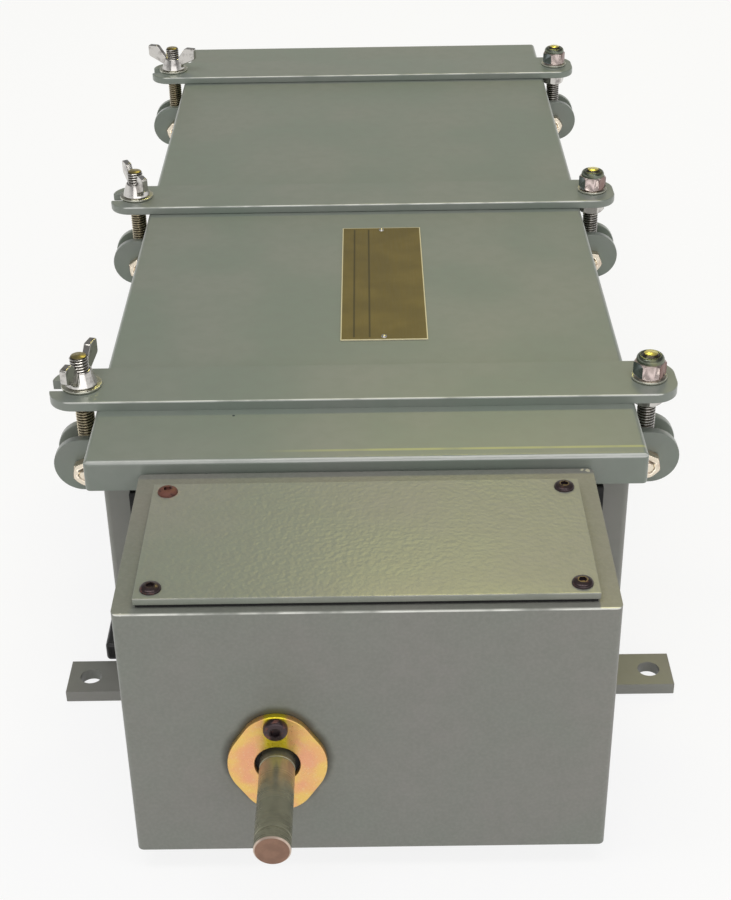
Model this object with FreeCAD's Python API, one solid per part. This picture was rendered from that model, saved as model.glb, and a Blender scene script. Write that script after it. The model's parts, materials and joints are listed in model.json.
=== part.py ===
import FreeCAD, Part
import math
import os

# Rotating cam limit switch in a folded steel enclosure, all sizes in millimetres.
# X is across the enclosure, Y runs from the shaft end to the back, Z is up.
# The origin is the centre of the four foot holes, on the plane that the feet stand on.

Vector = FreeCAD.Vector

# Main enclosure
box_width = 252.0
box_length = 598.0
box_height = 148.0
sheet = 2.0
box_bend = 3.0
rim_lip = 11.0

# Lid and its seal
lid_side_gap = 5.3
lid_end_gap = 4.0
lid_skirt = 16.2
lid_bend = 2.6
gasket_thickness = 3.0
gasket_inset = 1.0

# Feet
lug_width = 25.4
lug_thickness = 6.35
lug_reach = 32.4
lug_inset = 3.5
lug_hole_d = 11.1
lug_hole_reach = 20.7

# Clamp bars
bar_width = 35.0
bar_thickness = 5.0
bar_pitch = 240.0
bar_tip = 15.5
bar_heel = 13.5
bar_corner = 13.0
slot_clearance = 1.0

# Eye bolts, their ears and their pivots
bolt_d = 9.525
bolt_standoff = 16.0
eye_d = 18.0
eye_thickness = 10.5
swing_bolt_rise = 17.0
hinge_bolt_rise = 12.5
ear_radius = 14.8
ear_shift = 2.1
ear_thickness = 5.0
ear_clearance = 0.35
ear_below_lid = 4.6
pivot_d = 6.35
pivot_hex = 11.1
pivot_head_height = 4.2
pivot_nut_height = 5.6
pivot_stick_out = 1.6
bolt_chamfer = 1.2
running_gap = 0.05

# Washers and nuts on the eye bolts
hex_flats = 14.3
hex_crown = 1.1
washer_d = 20.6
hinge_washer_d = 18.0
washer_thickness = 1.6
washer_gap = 0.4
lock_nut_height = 8.4
lock_collar_height = 3.0
lock_collar_d = 13.6
lock_collar_round = 2.2
jam_nut_height = 8.4
wing_hub_d = 16.5
wing_hub_top_d = 11.5
wing_hub_height = 8.0
wing_span = 37.0
wing_height = 16.5
wing_thickness = 3.8
wing_root_height = 2.0
wing_root_overlap = 1.0
wing_tip_width = 7.5
wing_tip_height = 8.0
wing_tip_round = 1.2
wing_turns = {"front": 74.0, "middle": 116.0, "rear": -19.0}

# Moulded plug low on the left side
conduit_from_front = 55.0
conduit_height = 8.5
conduit_hole_d = 6.35
conduit_head_length = 44.0
conduit_head_height = 11.0
conduit_head_round = 2.5
conduit_stick_out = 10.0
conduit_nut = 3.0
conduit_nut_hex = 9.5
conduit_thread_out = 1.0

# Rating plate on the lid, left bare
plate_width = 46.6
plate_length = 144.0
plate_thickness = 0.8
plate_x = 10.2
plate_from_front = 111.5
rivet_d = 3.2
rivet_inset = 3.4
rivet_height = 1.0

# Gear housing on the front of the enclosure
housing_width = 213.3
housing_depth = 108.5
housing_below_rim = 1.5
housing_bottom = 12.0
housing_wall = 3.0
housing_bend = 3.0
lid_clearance = 1.0
spacer_overhang = 6.0
spacer_drop = 1.5
housing_bolt_d = 6.35
housing_bolt_hex = 11.1
housing_bolt_head = 4.2
housing_bolt_out = 1.0
housing_bolt_inset = 20.0

# Cover plate of the gear housing
cover_width = 195.0
cover_depth = 88.0
cover_thickness = 3.2
cover_gasket_thickness = 1.8
cover_front_margin = 4.0
cover_land = 14.0
cover_gasket_inset = 1.0
cover_screw_inset = 7.0
cover_screw_d = 4.8
cover_screw_head_d = 9.2
cover_screw_head = 2.7
cover_screw_reach = 3.0
thread_gap = 0.05

# Input shaft and what carries it
input_x = -40.3
input_z = 65.5
input_d = 15.875
input_extension = 52.0
input_chamfer = 1.3
shaft_chamfer = 0.9
ring_groove_width = 1.1
ring_groove_depth = 0.5
ring_groove_from_end = 6.0
ring_cutter_margin = 1.0
seal_ring_from_retainer = 7.0
bushing_wall = 3.2
bushing_length = 12.0
seal_d = 28.0
seal_thickness = 6.4
boss_margin = 3.0
rear_boss_wall = 6.0

# Retainer plate over the shaft seal
retainer_width = 44.0
retainer_height = 54.0
retainer_end_radius = 16.0
retainer_thickness = 3.2
retainer_bore = 20.0
retainer_screw_offset = 21.0
retainer_screw_d = 6.35
retainer_head_d = 11.0
retainer_head = 3.4
retainer_screw_reach = 12.0

# Gear pair
tooth_module = 1.5875
pinion_teeth = 16
gear_teeth = 48
pressure_angle_deg = 20.0
root_depth_modules = 1.25
rim_depth_modules = 4.0
gear_backlash = 0.24
gear_face = 12.0
pinion_extra = 3.0
gear_from_wall = 34.0
gear_hub_d = 26.0
gear_hub = 8.0
web_groove = 3.0
fit_gap = 0.02

# Camshaft and cams
camshaft_d = 12.7
camshaft_out = 1.0
shaft_passage = 3.0
circuits = 8
cam_pitch = 56.0
cam_radius = 22.0
cam_lift = 2.5
cam_width = 9.0
cam_hub_d = 24.0
cam_hub = 20.0
cam_ramp_deg = 8.0
dwell_start_deg = -30.0
dwell_span_deg = 150.0
dwell_step_deg = 8.0
dwell_order = 3
sleeve_d = 18.0
sleeve_end_gap = 0.4
bracket_thickness = 8.0
bracket_from_wall = 20.0
bracket_foot = 26.0
bracket_side = 34.0
bracket_rise = 30.0
camshaft_bushing_d = 19.0
bushing_flange_d = 25.0
bushing_flange = 2.0

# Snap switches, their levers and their rail
roller_d = 9.6
roller_width = 6.4
roller_gap = 0.3
lever_length = 26.0
lever_cheek = 1.2
lever_web = 1.4
lever_cheek_d = 7.0
lever_side_gap = 0.35
lever_web_gap = 1.0
pivot_pin_d = 3.2
switch_depth = 24.0
switch_width = 20.0
switch_height = 62.0
switch_below_pivot = 14.0
switch_standoff = 10.0
plunger_d = 4.0
plunger_at = 14.0
plunger_gap = 1.2
rail_thickness = 5.0
switch_screw_d = 4.0
switch_screw_head_d = 7.0
switch_screw_head = 2.4
switch_screw_inset = 5.0

# Terminal strip on the floor
terminal_count = 16
terminal_pitch = 22.0
terminal_from_wall = 34.0
terminal_width = 30.0
terminal_height = 14.0
barrier_height = 7.0
barrier_thickness = 2.0
terminal_screw_d = 7.0
terminal_screw_head = 2.5

# Places worked out from the sizes
half_width = box_width / 2
half_length = box_length / 2
gasket_top = box_height + gasket_thickness
lid_top = gasket_top + sheet
skirt_bottom = lid_top - lid_skirt
lid_half_width = half_width + lid_side_gap + sheet
lid_half_length = half_length + lid_end_gap + sheet
bar_top = lid_top + bar_thickness
washer_top = bar_top + washer_thickness
bolt_x = half_width + bolt_standoff
ear_z = skirt_bottom - ear_below_lid - ear_radius
pin_z = ear_z - ear_shift
bar_rows = {"front": -bar_pitch, "middle": 0.0, "rear": bar_pitch}
ear_inner = eye_thickness / 2 + ear_clearance
ear_outer = ear_inner + ear_thickness
lug_hole_x = half_width + lug_hole_reach
lug_hole_y = half_length - lug_inset - lug_width / 2

spacer_thickness = lid_end_gap + sheet + lid_clearance
housing_rear = -half_length - spacer_thickness
housing_front = housing_rear - housing_depth
housing_top = box_height - housing_below_rim
spacer_top = skirt_bottom - spacer_drop
cover_front = housing_front + cover_front_margin
cover_rear = cover_front + cover_depth
cover_bottom = housing_top + cover_gasket_thickness
cover_top = cover_bottom + cover_thickness

retainer_face = housing_front - retainer_thickness
input_end = retainer_face - input_extension
bushing_d = input_d + 2 * bushing_wall
front_boss_end = housing_front + seal_thickness + bushing_length
rear_boss_start = housing_rear - housing_wall - bushing_length
gear_spacing = tooth_module * (pinion_teeth + gear_teeth) / 2
cam_x = input_x + gear_spacing
cam_z = input_z
gear_rear = housing_rear - gear_from_wall
gear_front = gear_rear - gear_face

bracket_y = half_length - sheet - bracket_from_wall - bracket_thickness / 2
cam_rows = [(i - (circuits - 1) / 2) * cam_pitch for i in range(circuits)]
roller_x = cam_x + cam_radius + roller_gap + roller_d / 2
pivot_z = cam_z - lever_length
switch_face = roller_x + switch_standoff
rail_x = switch_face + switch_depth
switch_bottom = pivot_z - switch_below_pivot
switch_top = switch_bottom + switch_height
cheek_inner = roller_width / 2 + lever_side_gap
cheek_outer = cheek_inner + lever_cheek
lever_back = roller_x + lever_cheek_d / 2 + lever_web_gap
terminal_x = -half_width + terminal_from_wall


def block(x0, x1, y0, y1, z0, z1):
    return Part.makeBox(x1 - x0, y1 - y0, z1 - z0, Vector(x0, y0, z0))


def rod(radius, start, end):
    start, end = Vector(*start), Vector(*end)
    return Part.makeCylinder(radius, (end - start).Length, start, end - start)


def tube(outer, inner, start, end):
    return rod(outer, start, end).cut(rod(inner, start, end))


def prism(points, travel):
    corners = [Vector(*p) for p in points]
    return Part.Face(Part.makePolygon(corners + corners[:1])).extrude(Vector(*travel))


def hexagon(flats, start, travel):
    """A hexagonal prism whose axis runs from start along travel."""
    axis = Vector(*travel)
    corner = flats / math.sqrt(3)
    turn = FreeCAD.Rotation(Vector(0, 0, 1), axis)
    points = []
    for i in range(6):
        a = math.radians(60 * i)
        offset = turn.multVec(Vector(corner * math.cos(a), corner * math.sin(a), 0))
        points.append(Vector(*start) + offset)
    return Part.Face(Part.makePolygon(points + points[:1])).extrude(axis)


def crowned(flats, start, travel):
    """A nut or bolt head: a hexagon with the corners of both ends turned down."""
    start, travel = Vector(*start), Vector(*travel)
    blank = rod(flats / math.sqrt(3), start, start + travel)
    blank = blank.makeChamfer(hex_crown * flats / hex_flats, circles(blank))
    return hexagon(flats, start, travel).common(blank)


def circles(shape):
    return [e for e in shape.Edges if e.isClosed() and isinstance(e.Curve, Part.Circle)]


def along(edge, axis):
    """Whether an edge is straight and runs along the axis with that index."""
    if len(edge.Vertexes) < 2:
        return False
    run = edge.Vertexes[1].Point - edge.Vertexes[0].Point
    return abs(abs(run[axis]) - edge.Length) < 1e-6 and edge.Length > 1e-6


def at_height(edge, z):
    return all(abs(v.Point.z - z) < 1e-6 for v in edge.Vertexes)


def folded_box(x, y, z0, z1, radius, flat):
    """A box of half sizes x and y with its upright edges and those at height flat rounded."""
    shape = block(-x, x, -y, y, z0, z1)
    edges = [e for e in shape.Edges if along(e, 2) or at_height(e, flat)]
    return shape.makeFillet(radius, edges)


def upright_rounded(shape, radius):
    return shape.makeFillet(radius, [e for e in shape.Edges if along(e, 2)])


def button_screw(head_d, head, shank_d, seat, direction, reach):
    """A domed head that sits on seat, with its shank running along direction."""
    dome = ((head_d / 2) ** 2 + head**2) / (2 * head)
    half_angle = math.asin(head_d / 2 / dome) / 2
    top, rim = Vector(0, 0, -head), Vector(head_d / 2, 0, 0)
    crown = Vector(dome * math.sin(half_angle), 0, dome - head - dome * math.cos(half_angle))
    corners = [rim, Vector(shank_d / 2, 0, 0), Vector(shank_d / 2, 0, reach), Vector(0, 0, reach), top]
    edges = [Part.Arc(top, crown, rim).toShape()]
    edges += [Part.LineSegment(a, b).toShape() for a, b in zip(corners, corners[1:])]
    screw = Part.Face(Part.Wire(edges)).revolve(Vector(), Vector(0, 0, 1), 360)
    turn = FreeCAD.Rotation(Vector(0, 0, 1), Vector(*direction))
    screw.Placement = FreeCAD.Placement(Vector(*seat), turn)
    return screw


def save(name, *solids):
    Part.makeCompound(list(solids)).exportStep("parts/" + name + ".step")


def housing_bolt_places():
    x = housing_width / 2 - housing_bolt_inset
    low = housing_bottom + housing_bolt_inset
    high = spacer_top - housing_bolt_inset
    return [(side * x, z) for side in (-1, 1) for z in (low, high)]


def main_enclosure():
    """A folded tray with a rim turned inwards, open on top."""
    shape = folded_box(half_width, half_length, 0, box_height, box_bend, 0)
    inner_bend = box_bend - sheet
    top = box_height - sheet
    cavity = folded_box(half_width - sheet, half_length - sheet, sheet, top, inner_bend, sheet)
    mouth_x, mouth_y = half_width - sheet - rim_lip, half_length - sheet - rim_lip
    mouth = block(-mouth_x, mouth_x, -mouth_y, mouth_y, top, box_height)
    shape = shape.cut(cavity).cut(mouth)
    front, inside = -half_length, -half_length + sheet
    passage = camshaft_d / 2 + shaft_passage
    holes = [rod(passage, (cam_x, front, cam_z), (cam_x, inside, cam_z))]
    for x, z in housing_bolt_places():
        holes.append(rod(housing_bolt_d / 2 + thread_gap, (x, front, z), (x, inside, z)))
    y, z = conduit_y(), conduit_height
    holes.append(rod(conduit_hole_d / 2 + thread_gap, (-half_width, y, z), (-half_width + sheet, y, z)))
    return shape.cut(Part.makeCompound(holes))


def conduit_y():
    return -half_length + conduit_from_front


def mounting_lugs():
    """Four welded flat-bar feet, each with its bolt hole."""
    lugs = []
    for side in (-1, 1):
        for end in (-1, 1):
            x0, x1 = sorted((side * half_width, side * (half_width + lug_reach)))
            y = end * lug_hole_y
            lug = block(x0, x1, y - lug_width / 2, y + lug_width / 2, 0, lug_thickness)
            x = side * lug_hole_x
            lugs.append(lug.cut(rod(lug_hole_d / 2, (x, y, 0), (x, y, lug_thickness))))
    return lugs


def lid():
    """The overhanging lid, folded down into a skirt all round."""
    x, y = lid_half_width, lid_half_length
    shape = folded_box(x, y, skirt_bottom, lid_top, lid_bend, lid_top)
    inside = folded_box(x - sheet, y - sheet, skirt_bottom, gasket_top, lid_bend - sheet, gasket_top)
    return shape.cut(inside)


def lid_gasket():
    x, y = half_width - gasket_inset, half_length - gasket_inset
    ring = block(-x, x, -y, y, box_height, gasket_top)
    x, y = half_width - sheet - rim_lip, half_length - sheet - rim_lip
    return ring.cut(block(-x, x, -y, y, box_height, gasket_top))


def clamp_bar(y):
    """A flat bar with an open slot at its left end and a bolt hole at its right end."""
    left, right = -bolt_x - bar_tip, bolt_x + bar_heel
    bar = block(left, right, y - bar_width / 2, y + bar_width / 2, lid_top, bar_top)
    bar = upright_rounded(bar, bar_corner)
    reach = (bolt_d + slot_clearance) / 2
    bar = bar.cut(block(left, -bolt_x, y - reach, y + reach, lid_top, bar_top))
    for side in (-1, 1):
        bar = bar.cut(rod(reach, (side * bolt_x, y, lid_top), (side * bolt_x, y, bar_top)))
    return bar


def bolt_ear(side, y0, y1):
    """One welded ear: straight from the wall, then round about a point outside and above the pivot."""
    x, pin_x = side * (bolt_x + ear_shift), side * bolt_x
    x0, x1 = sorted((side * half_width, x))
    ear = block(x0, x1, y0, y1, ear_z - ear_radius, ear_z + ear_radius)
    ear = ear.fuse(rod(ear_radius, (x, y0, ear_z), (x, y1, ear_z))).removeSplitter()
    return ear.cut(rod(pivot_d / 2 + fit_gap, (pin_x, y0, pin_z), (pin_x, y1, pin_z)))


def bolt_ears():
    ears = []
    for y in bar_rows.values():
        for side in (-1, 1):
            ears.append(bolt_ear(side, y - ear_outer, y - ear_inner))
            ears.append(bolt_ear(side, y + ear_inner, y + ear_outer))
    return ears


def eye_bolt(side, y, rise):
    """An eye about the pivot pin with its stud standing up through the clamp bar."""
    x, top = side * bolt_x, bar_top + rise
    ends = (x, y - eye_thickness / 2, pin_z), (x, y + eye_thickness / 2, pin_z)
    shape = rod(eye_d / 2, *ends).fuse(rod(bolt_d / 2, (x, y, pin_z), (x, y, top)))
    shape = shape.cut(rod(pivot_d / 2 + running_gap, *ends))
    rim = [e for e in shape.Edges if at_height(e, top)]
    return shape.makeChamfer(bolt_chamfer, rim)


def pivot_bolt(side, y):
    """A bolt put in from the rear, whose end stands out of its nut in front of the ears."""
    x, seat = side * bolt_x, y + ear_outer
    head = crowned(pivot_hex, (x, seat, pin_z), (0, pivot_head_height, 0))
    end = y - ear_outer - pivot_nut_height - pivot_stick_out
    return head.fuse(rod(pivot_d / 2, (x, seat, pin_z), (x, end, pin_z)))


def pivot_nut(side, y):
    x, seat = side * bolt_x, y - ear_outer
    nut = crowned(pivot_hex, (x, seat, pin_z), (0, -pivot_nut_height, 0))
    return nut.cut(rod(pivot_d / 2 + fit_gap, (x, seat, pin_z), (x, seat - pivot_nut_height, pin_z)))


def washer(outer_d, x, y):
    return tube(outer_d / 2, bolt_d / 2 + washer_gap, (x, y, bar_top), (x, y, washer_top))


def lock_nut(x, y):
    """A hexagon with the domed collar that holds its locking ring."""
    seat = washer_top + lock_nut_height
    top = seat + lock_collar_height
    collar = rod(lock_collar_d / 2, (x, y, seat - hex_crown), (x, y, top))
    collar = collar.makeFillet(lock_collar_round, [e for e in circles(collar) if at_height(e, top)])
    nut = crowned(hex_flats, (x, y, washer_top), (0, 0, lock_nut_height)).fuse(collar)
    return nut.cut(rod(bolt_d / 2 + fit_gap, (x, y, washer_top), (x, y, top)))


def jam_nut(x, y):
    z = lid_top - jam_nut_height
    nut = crowned(hex_flats, (x, y, z), (0, 0, jam_nut_height))
    return nut.cut(rod(bolt_d / 2 + fit_gap, (x, y, z), (x, y, lid_top)))


def wing_nut(row):
    """A tapered hub with two upright wings, turned as it was left when tightened."""
    x, y, z = -bolt_x, bar_rows[row], washer_top
    hub = Part.makeCone(wing_hub_d / 2, wing_hub_top_d / 2, wing_hub_height, Vector(x, y, z))
    nut = hub.fuse([wing(x, y, z, -1), wing(x, y, z, 1)])
    bore = rod(bolt_d / 2 + running_gap, (x, y, z), (x, y, z + wing_height))
    return turned(nut.cut(bore), (x, y), wing_turns[row])


def wing(x, y, z, way):
    """One wing, narrow at the hub, with its three outer corners rounded."""
    inner, outer = wing_hub_top_d / 2 - wing_root_overlap, wing_span / 2
    high = z + wing_height
    tip = [(outer, high - wing_tip_height), (outer, high), (outer - wing_tip_width, high)]
    outline = [(inner, z + wing_root_height)] + tip + [(inner, z + wing_hub_height)]
    points = [(x + way * u, y - wing_thickness / 2, v) for u, v in outline]
    shape = prism(points, (0, wing_thickness, 0))
    waist = outer - wing_tip_width
    corners = [e for e in shape.Edges if along(e, 1) and way * (e.Vertexes[0].Point.x - x) > waist - fit_gap]
    return shape.makeFillet(wing_tip_round, corners)


def turned(shape, place, degrees):
    shape.rotate(Vector(place[0], place[1], 0), Vector(0, 0, 1), degrees)
    return shape


def conduit_plug():
    """A long moulded head with soft outer edges, and its stem through the wall."""
    y, z = conduit_y(), conduit_height
    outer, reach, rise = -half_width - conduit_stick_out, conduit_head_length / 2, conduit_head_height / 2
    head = block(outer, -half_width, y - reach, y + reach, z - rise, z + rise)
    edges = [e for e in head.Edges if e.BoundBox.XMin < -half_width - fit_gap]
    head = head.makeFillet(conduit_head_round, edges)
    return head.fuse(rod(conduit_hole_d / 2, (-half_width, y, z), (conduit_inner_end(), y, z)))


def conduit_inner_end():
    return -half_width + sheet + conduit_nut + conduit_thread_out


def conduit_locknut():
    y, z, x = conduit_y(), conduit_height, -half_width + sheet
    nut = hexagon(conduit_nut_hex, (x, y, z), (conduit_nut, 0, 0))
    return nut.cut(rod(conduit_hole_d / 2 + fit_gap, (x, y, z), (x + conduit_nut, y, z)))


def plate_centre_y():
    return -half_length + plate_from_front + plate_length / 2


def rating_plate():
    x, y = plate_width / 2, plate_length / 2
    top = lid_top + plate_thickness
    cy = plate_centre_y()
    return block(plate_x - x, plate_x + x, cy - y, cy + y, lid_top, top)


def plate_rivets():
    z = lid_top + plate_thickness
    reach = plate_length / 2 - rivet_inset
    rivets = []
    for y in (plate_centre_y() - reach, plate_centre_y() + reach):
        rivets.append(rod(rivet_d / 2, (plate_x, y, z), (plate_x, y, z + rivet_height)))
    return rivets


def housing_spacer():
    """The black seal block between the two enclosures, which clears the lid's skirt."""
    x = housing_width / 2 + spacer_overhang
    shape = block(-x, x, housing_rear, -half_length, housing_bottom, spacer_top)
    passage = camshaft_d / 2 + shaft_passage
    holes = [rod(passage, (cam_x, housing_rear, cam_z), (cam_x, -half_length, cam_z))]
    for x, z in housing_bolt_places():
        holes.append(rod(housing_bolt_d / 2 + thread_gap, (x, housing_rear, z), (x, -half_length, z)))
    return shape.cut(Part.makeCompound(holes))


def gear_housing():
    """A closed welded box with a machined opening on top and a boss at each end of the shaft."""
    shape = housing_shell().fuse(housing_bosses())
    return shape.cut(Part.makeCompound(shaft_bores() + housing_screw_holes()))


def housing_shell():
    x, wall = housing_width / 2, housing_wall
    under = housing_top - wall
    shell = block(-x, x, housing_front, housing_rear, housing_bottom, housing_top)
    shell = upright_rounded(shell, housing_bend)
    inner_y = housing_front + wall, housing_rear - wall
    shell = shell.cut(block(-x + wall, x - wall, *inner_y, housing_bottom + wall, under))
    reach = cover_width / 2 - cover_land
    mouth_y = cover_front + cover_land, cover_rear - cover_land
    return shell.cut(block(-reach, reach, *mouth_y, under, housing_top))


def housing_bosses():
    """A block behind the retainer plate and a round boss on the rear wall."""
    x = retainer_width / 2 + boss_margin
    z = retainer_height / 2 + boss_margin
    inside = housing_front + housing_wall
    front = block(input_x - x, input_x + x, inside, front_boss_end, input_z - z, input_z + z)
    rear_wall = housing_rear - housing_wall
    radius = bushing_d / 2 + rear_boss_wall
    return [front, rod(radius, (input_x, rear_boss_start, input_z), (input_x, rear_wall, input_z))]


def shaft_bores():
    face, seal_seat = (input_x, housing_front, input_z), (input_x, housing_front + seal_thickness, input_z)
    rear_wall = housing_rear - housing_wall
    bushing = bushing_d / 2 + fit_gap
    return [
        rod(bushing, face, (input_x, front_boss_end, input_z)),
        rod(seal_d / 2 + fit_gap, face, seal_seat),
        rod(bushing, (input_x, rear_boss_start, input_z), (input_x, rear_wall, input_z)),
        rod(camshaft_d / 2 + shaft_passage, (cam_x, rear_wall, cam_z), (cam_x, housing_rear, cam_z)),
    ]


def housing_screw_holes():
    holes = []
    for x, z in housing_bolt_places():
        gap = housing_bolt_d / 2 + thread_gap
        holes.append(rod(gap, (x, housing_rear - housing_wall, z), (x, housing_rear, z)))
    for x, y in cover_screw_places():
        gap = cover_screw_d / 2 + thread_gap
        holes.append(rod(gap, (x, y, housing_top - housing_wall), (x, y, housing_top)))
    for z in retainer_screw_heights():
        gap, depth = retainer_screw_d / 2 + thread_gap, housing_front + retainer_screw_reach
        holes.append(rod(gap, (input_x, housing_front, z), (input_x, depth, z)))
    return holes


def cover_screw_places():
    x = cover_width / 2 - cover_screw_inset
    near, far = cover_front + cover_screw_inset, cover_rear - cover_screw_inset
    return [(side * x, y) for side in (-1, 1) for y in (near, far)]


def cover_screw_holes(z0, z1):
    gap = cover_screw_d / 2 + thread_gap
    return Part.makeCompound([rod(gap, (x, y, z0), (x, y, z1)) for x, y in cover_screw_places()])


def cover_gasket():
    inset, land = cover_gasket_inset, cover_land
    x, z0, z1 = cover_width / 2, housing_top, cover_bottom
    ring = block(-x + inset, x - inset, cover_front + inset, cover_rear - inset, z0, z1)
    ring = ring.cut(block(-x + land, x - land, cover_front + land, cover_rear - land, z0, z1))
    return ring.cut(cover_screw_holes(z0, z1))


def gear_cover():
    x = cover_width / 2
    plate = block(-x, x, cover_front, cover_rear, cover_bottom, cover_top)
    return plate.cut(cover_screw_holes(cover_bottom, cover_top))


def cover_screws():
    reach = cover_top - housing_top + cover_screw_reach
    size = cover_screw_head_d, cover_screw_head, cover_screw_d
    return [button_screw(*size, (x, y, cover_top), (0, 0, -1), reach) for x, y in cover_screw_places()]


def retainer_screw_heights():
    return [input_z - retainer_screw_offset, input_z + retainer_screw_offset]


def retainer_outline():
    """A round middle drawn out to a smaller round end above and below, joined by tangents."""
    side, end = retainer_width / 2, retainer_end_radius
    centre = retainer_height / 2 - end
    tilt = math.asin((side - end) / centre)
    c, s = math.cos(tilt), math.sin(tilt)

    def point(x, z):
        return Vector(input_x + x, housing_front, input_z + z)

    right = [point(side * c, -side * s), point(side, 0), point(side * c, side * s)]
    upper = [point(end * c, centre + end * s), point(0, centre + end), point(-end * c, centre + end * s)]
    left = [point(-side * c, side * s), point(-side, 0), point(-side * c, -side * s)]
    lower = [point(-end * c, -centre - end * s), point(0, -centre - end), point(end * c, -centre - end * s)]
    arcs = [right, upper, left, lower]
    edges = []
    for i, arc in enumerate(arcs):
        following = arcs[(i + 1) % 4]
        edges.append(Part.Arc(*arc).toShape())
        edges.append(Part.LineSegment(arc[2], following[0]).toShape())
    return Part.Face(Part.Wire(edges))


def shaft_retainer():
    """The plated oval plate that holds the shaft seal in its pocket."""
    plate = retainer_outline().extrude(Vector(0, -retainer_thickness, 0))
    holes = [rod(retainer_bore / 2, (input_x, housing_front, input_z), (input_x, retainer_face, input_z))]
    for z in retainer_screw_heights():
        gap = retainer_screw_d / 2 + thread_gap
        holes.append(rod(gap, (input_x, housing_front, z), (input_x, retainer_face, z)))
    return plate.cut(Part.makeCompound(holes))


def retainer_screws():
    reach = retainer_thickness + retainer_screw_reach
    size = retainer_head_d, retainer_head, retainer_screw_d
    places = [(input_x, retainer_face, z) for z in retainer_screw_heights()]
    return [button_screw(*size, place, (0, 1, 0), reach) for place in places]


def shaft_seal():
    start, end = (input_x, housing_front, input_z), (input_x, housing_front + seal_thickness, input_z)
    return tube(seal_d / 2, input_d / 2 + running_gap, start, end)


def input_bushings():
    rows = [(housing_front + seal_thickness, front_boss_end), (rear_boss_start, housing_rear - housing_wall)]
    bore = input_d / 2 + running_gap
    return [tube(bushing_d / 2, bore, (input_x, a, input_z), (input_x, b, input_z)) for a, b in rows]


def housing_bolts():
    """Hexagon bolts from inside the gear housing, through the seal block and the front wall."""
    bolts = []
    for x, z in housing_bolt_places():
        seat = housing_rear - housing_wall
        end = -half_length + sheet + housing_bolt_head + housing_bolt_out
        head = hexagon(housing_bolt_hex, (x, seat, z), (0, -housing_bolt_head, 0))
        bolts.append(head.fuse(rod(housing_bolt_d / 2, (x, seat, z), (x, end, z))))
    return bolts


def housing_nuts():
    nuts = []
    for x, z in housing_bolt_places():
        seat = -half_length + sheet
        end = (x, seat + housing_bolt_head, z)
        nut = hexagon(housing_bolt_hex, (x, seat, z), (0, housing_bolt_head, 0))
        nuts.append(nut.cut(rod(housing_bolt_d / 2 + fit_gap, (x, seat, z), end)))
    return nuts


def input_shaft():
    """The input shaft, with a ring groove near its free end and a fine one at the seal."""
    inner_end = housing_rear - housing_wall - running_gap
    radius = input_d / 2
    shaft = rod(radius, (input_x, input_end, input_z), (input_x, inner_end, input_z))
    shaft = shaft.makeChamfer(input_chamfer, circles(shaft))
    grooves = [(input_end + ring_groove_from_end, ring_groove_depth)]
    grooves.append((retainer_face - seal_ring_from_retainer, ring_groove_depth / 2))
    for y, depth in grooves:
        start, end = (input_x, y, input_z), (input_x, y + ring_groove_width, input_z)
        shaft = shaft.cut(tube(radius + ring_cutter_margin, radius - depth, start, end))
    return shaft


def involute(angle):
    return math.tan(angle) - angle


def gear_blank(teeth, centre, first_tooth_deg, y0, y1):
    """A spur gear about Y, with each flank drawn through its root, pitch and tip points."""
    pitch = tooth_module * teeth / 2
    pressure_angle = math.radians(pressure_angle_deg)
    base = pitch * math.cos(pressure_angle)
    half_tooth = math.pi / (2 * teeth) - gear_backlash / (4 * pitch) + involute(pressure_angle)
    flank = []
    for radius in (pitch - root_depth_modules * tooth_module, pitch, pitch + tooth_module):
        reach = max(radius, base)
        flank.append((radius, half_tooth - involute(math.acos(base / reach))))
    points = []
    for i in range(teeth):
        middle = math.radians(first_tooth_deg) + 2 * math.pi * i / teeth
        tooth = [(r, middle - a) for r, a in flank] + [(r, middle + a) for r, a in reversed(flank)]
        points += [(centre[0] + r * math.cos(a), y0, centre[1] + r * math.sin(a)) for r, a in tooth]
    return prism(points, (0, y1 - y0, 0))


def input_pinion():
    y0, y1 = gear_front - pinion_extra / 2, gear_rear + pinion_extra / 2
    gear = gear_blank(pinion_teeth, (input_x, input_z), 180 / pinion_teeth, y0, y1)
    return gear.cut(rod(input_d / 2 + fit_gap, (input_x, y0, input_z), (input_x, y1, input_z)))


def cam_gear():
    """The large gear, with a hub and a turned groove in its web."""
    gear = gear_blank(gear_teeth, (cam_x, cam_z), 180, gear_front, gear_rear)
    rim = tooth_module * (gear_teeth / 2 - rim_depth_modules)
    face = (cam_x, gear_front, cam_z)
    gear = gear.cut(tube(rim, gear_hub_d / 2, face, (cam_x, gear_front + web_groove, cam_z)))
    hub_end = (cam_x, gear_rear + gear_hub, cam_z)
    gear = gear.fuse(rod(gear_hub_d / 2, (cam_x, gear_rear, cam_z), hub_end))
    return gear.cut(rod(camshaft_d / 2 + fit_gap, face, hub_end))


def camshaft():
    start, end = gear_front - camshaft_out, bracket_y + bracket_thickness / 2 + bushing_flange
    shaft = rod(camshaft_d / 2, (cam_x, start, cam_z), (cam_x, end, cam_z))
    return shaft.makeChamfer(shaft_chamfer, circles(shaft))


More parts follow.
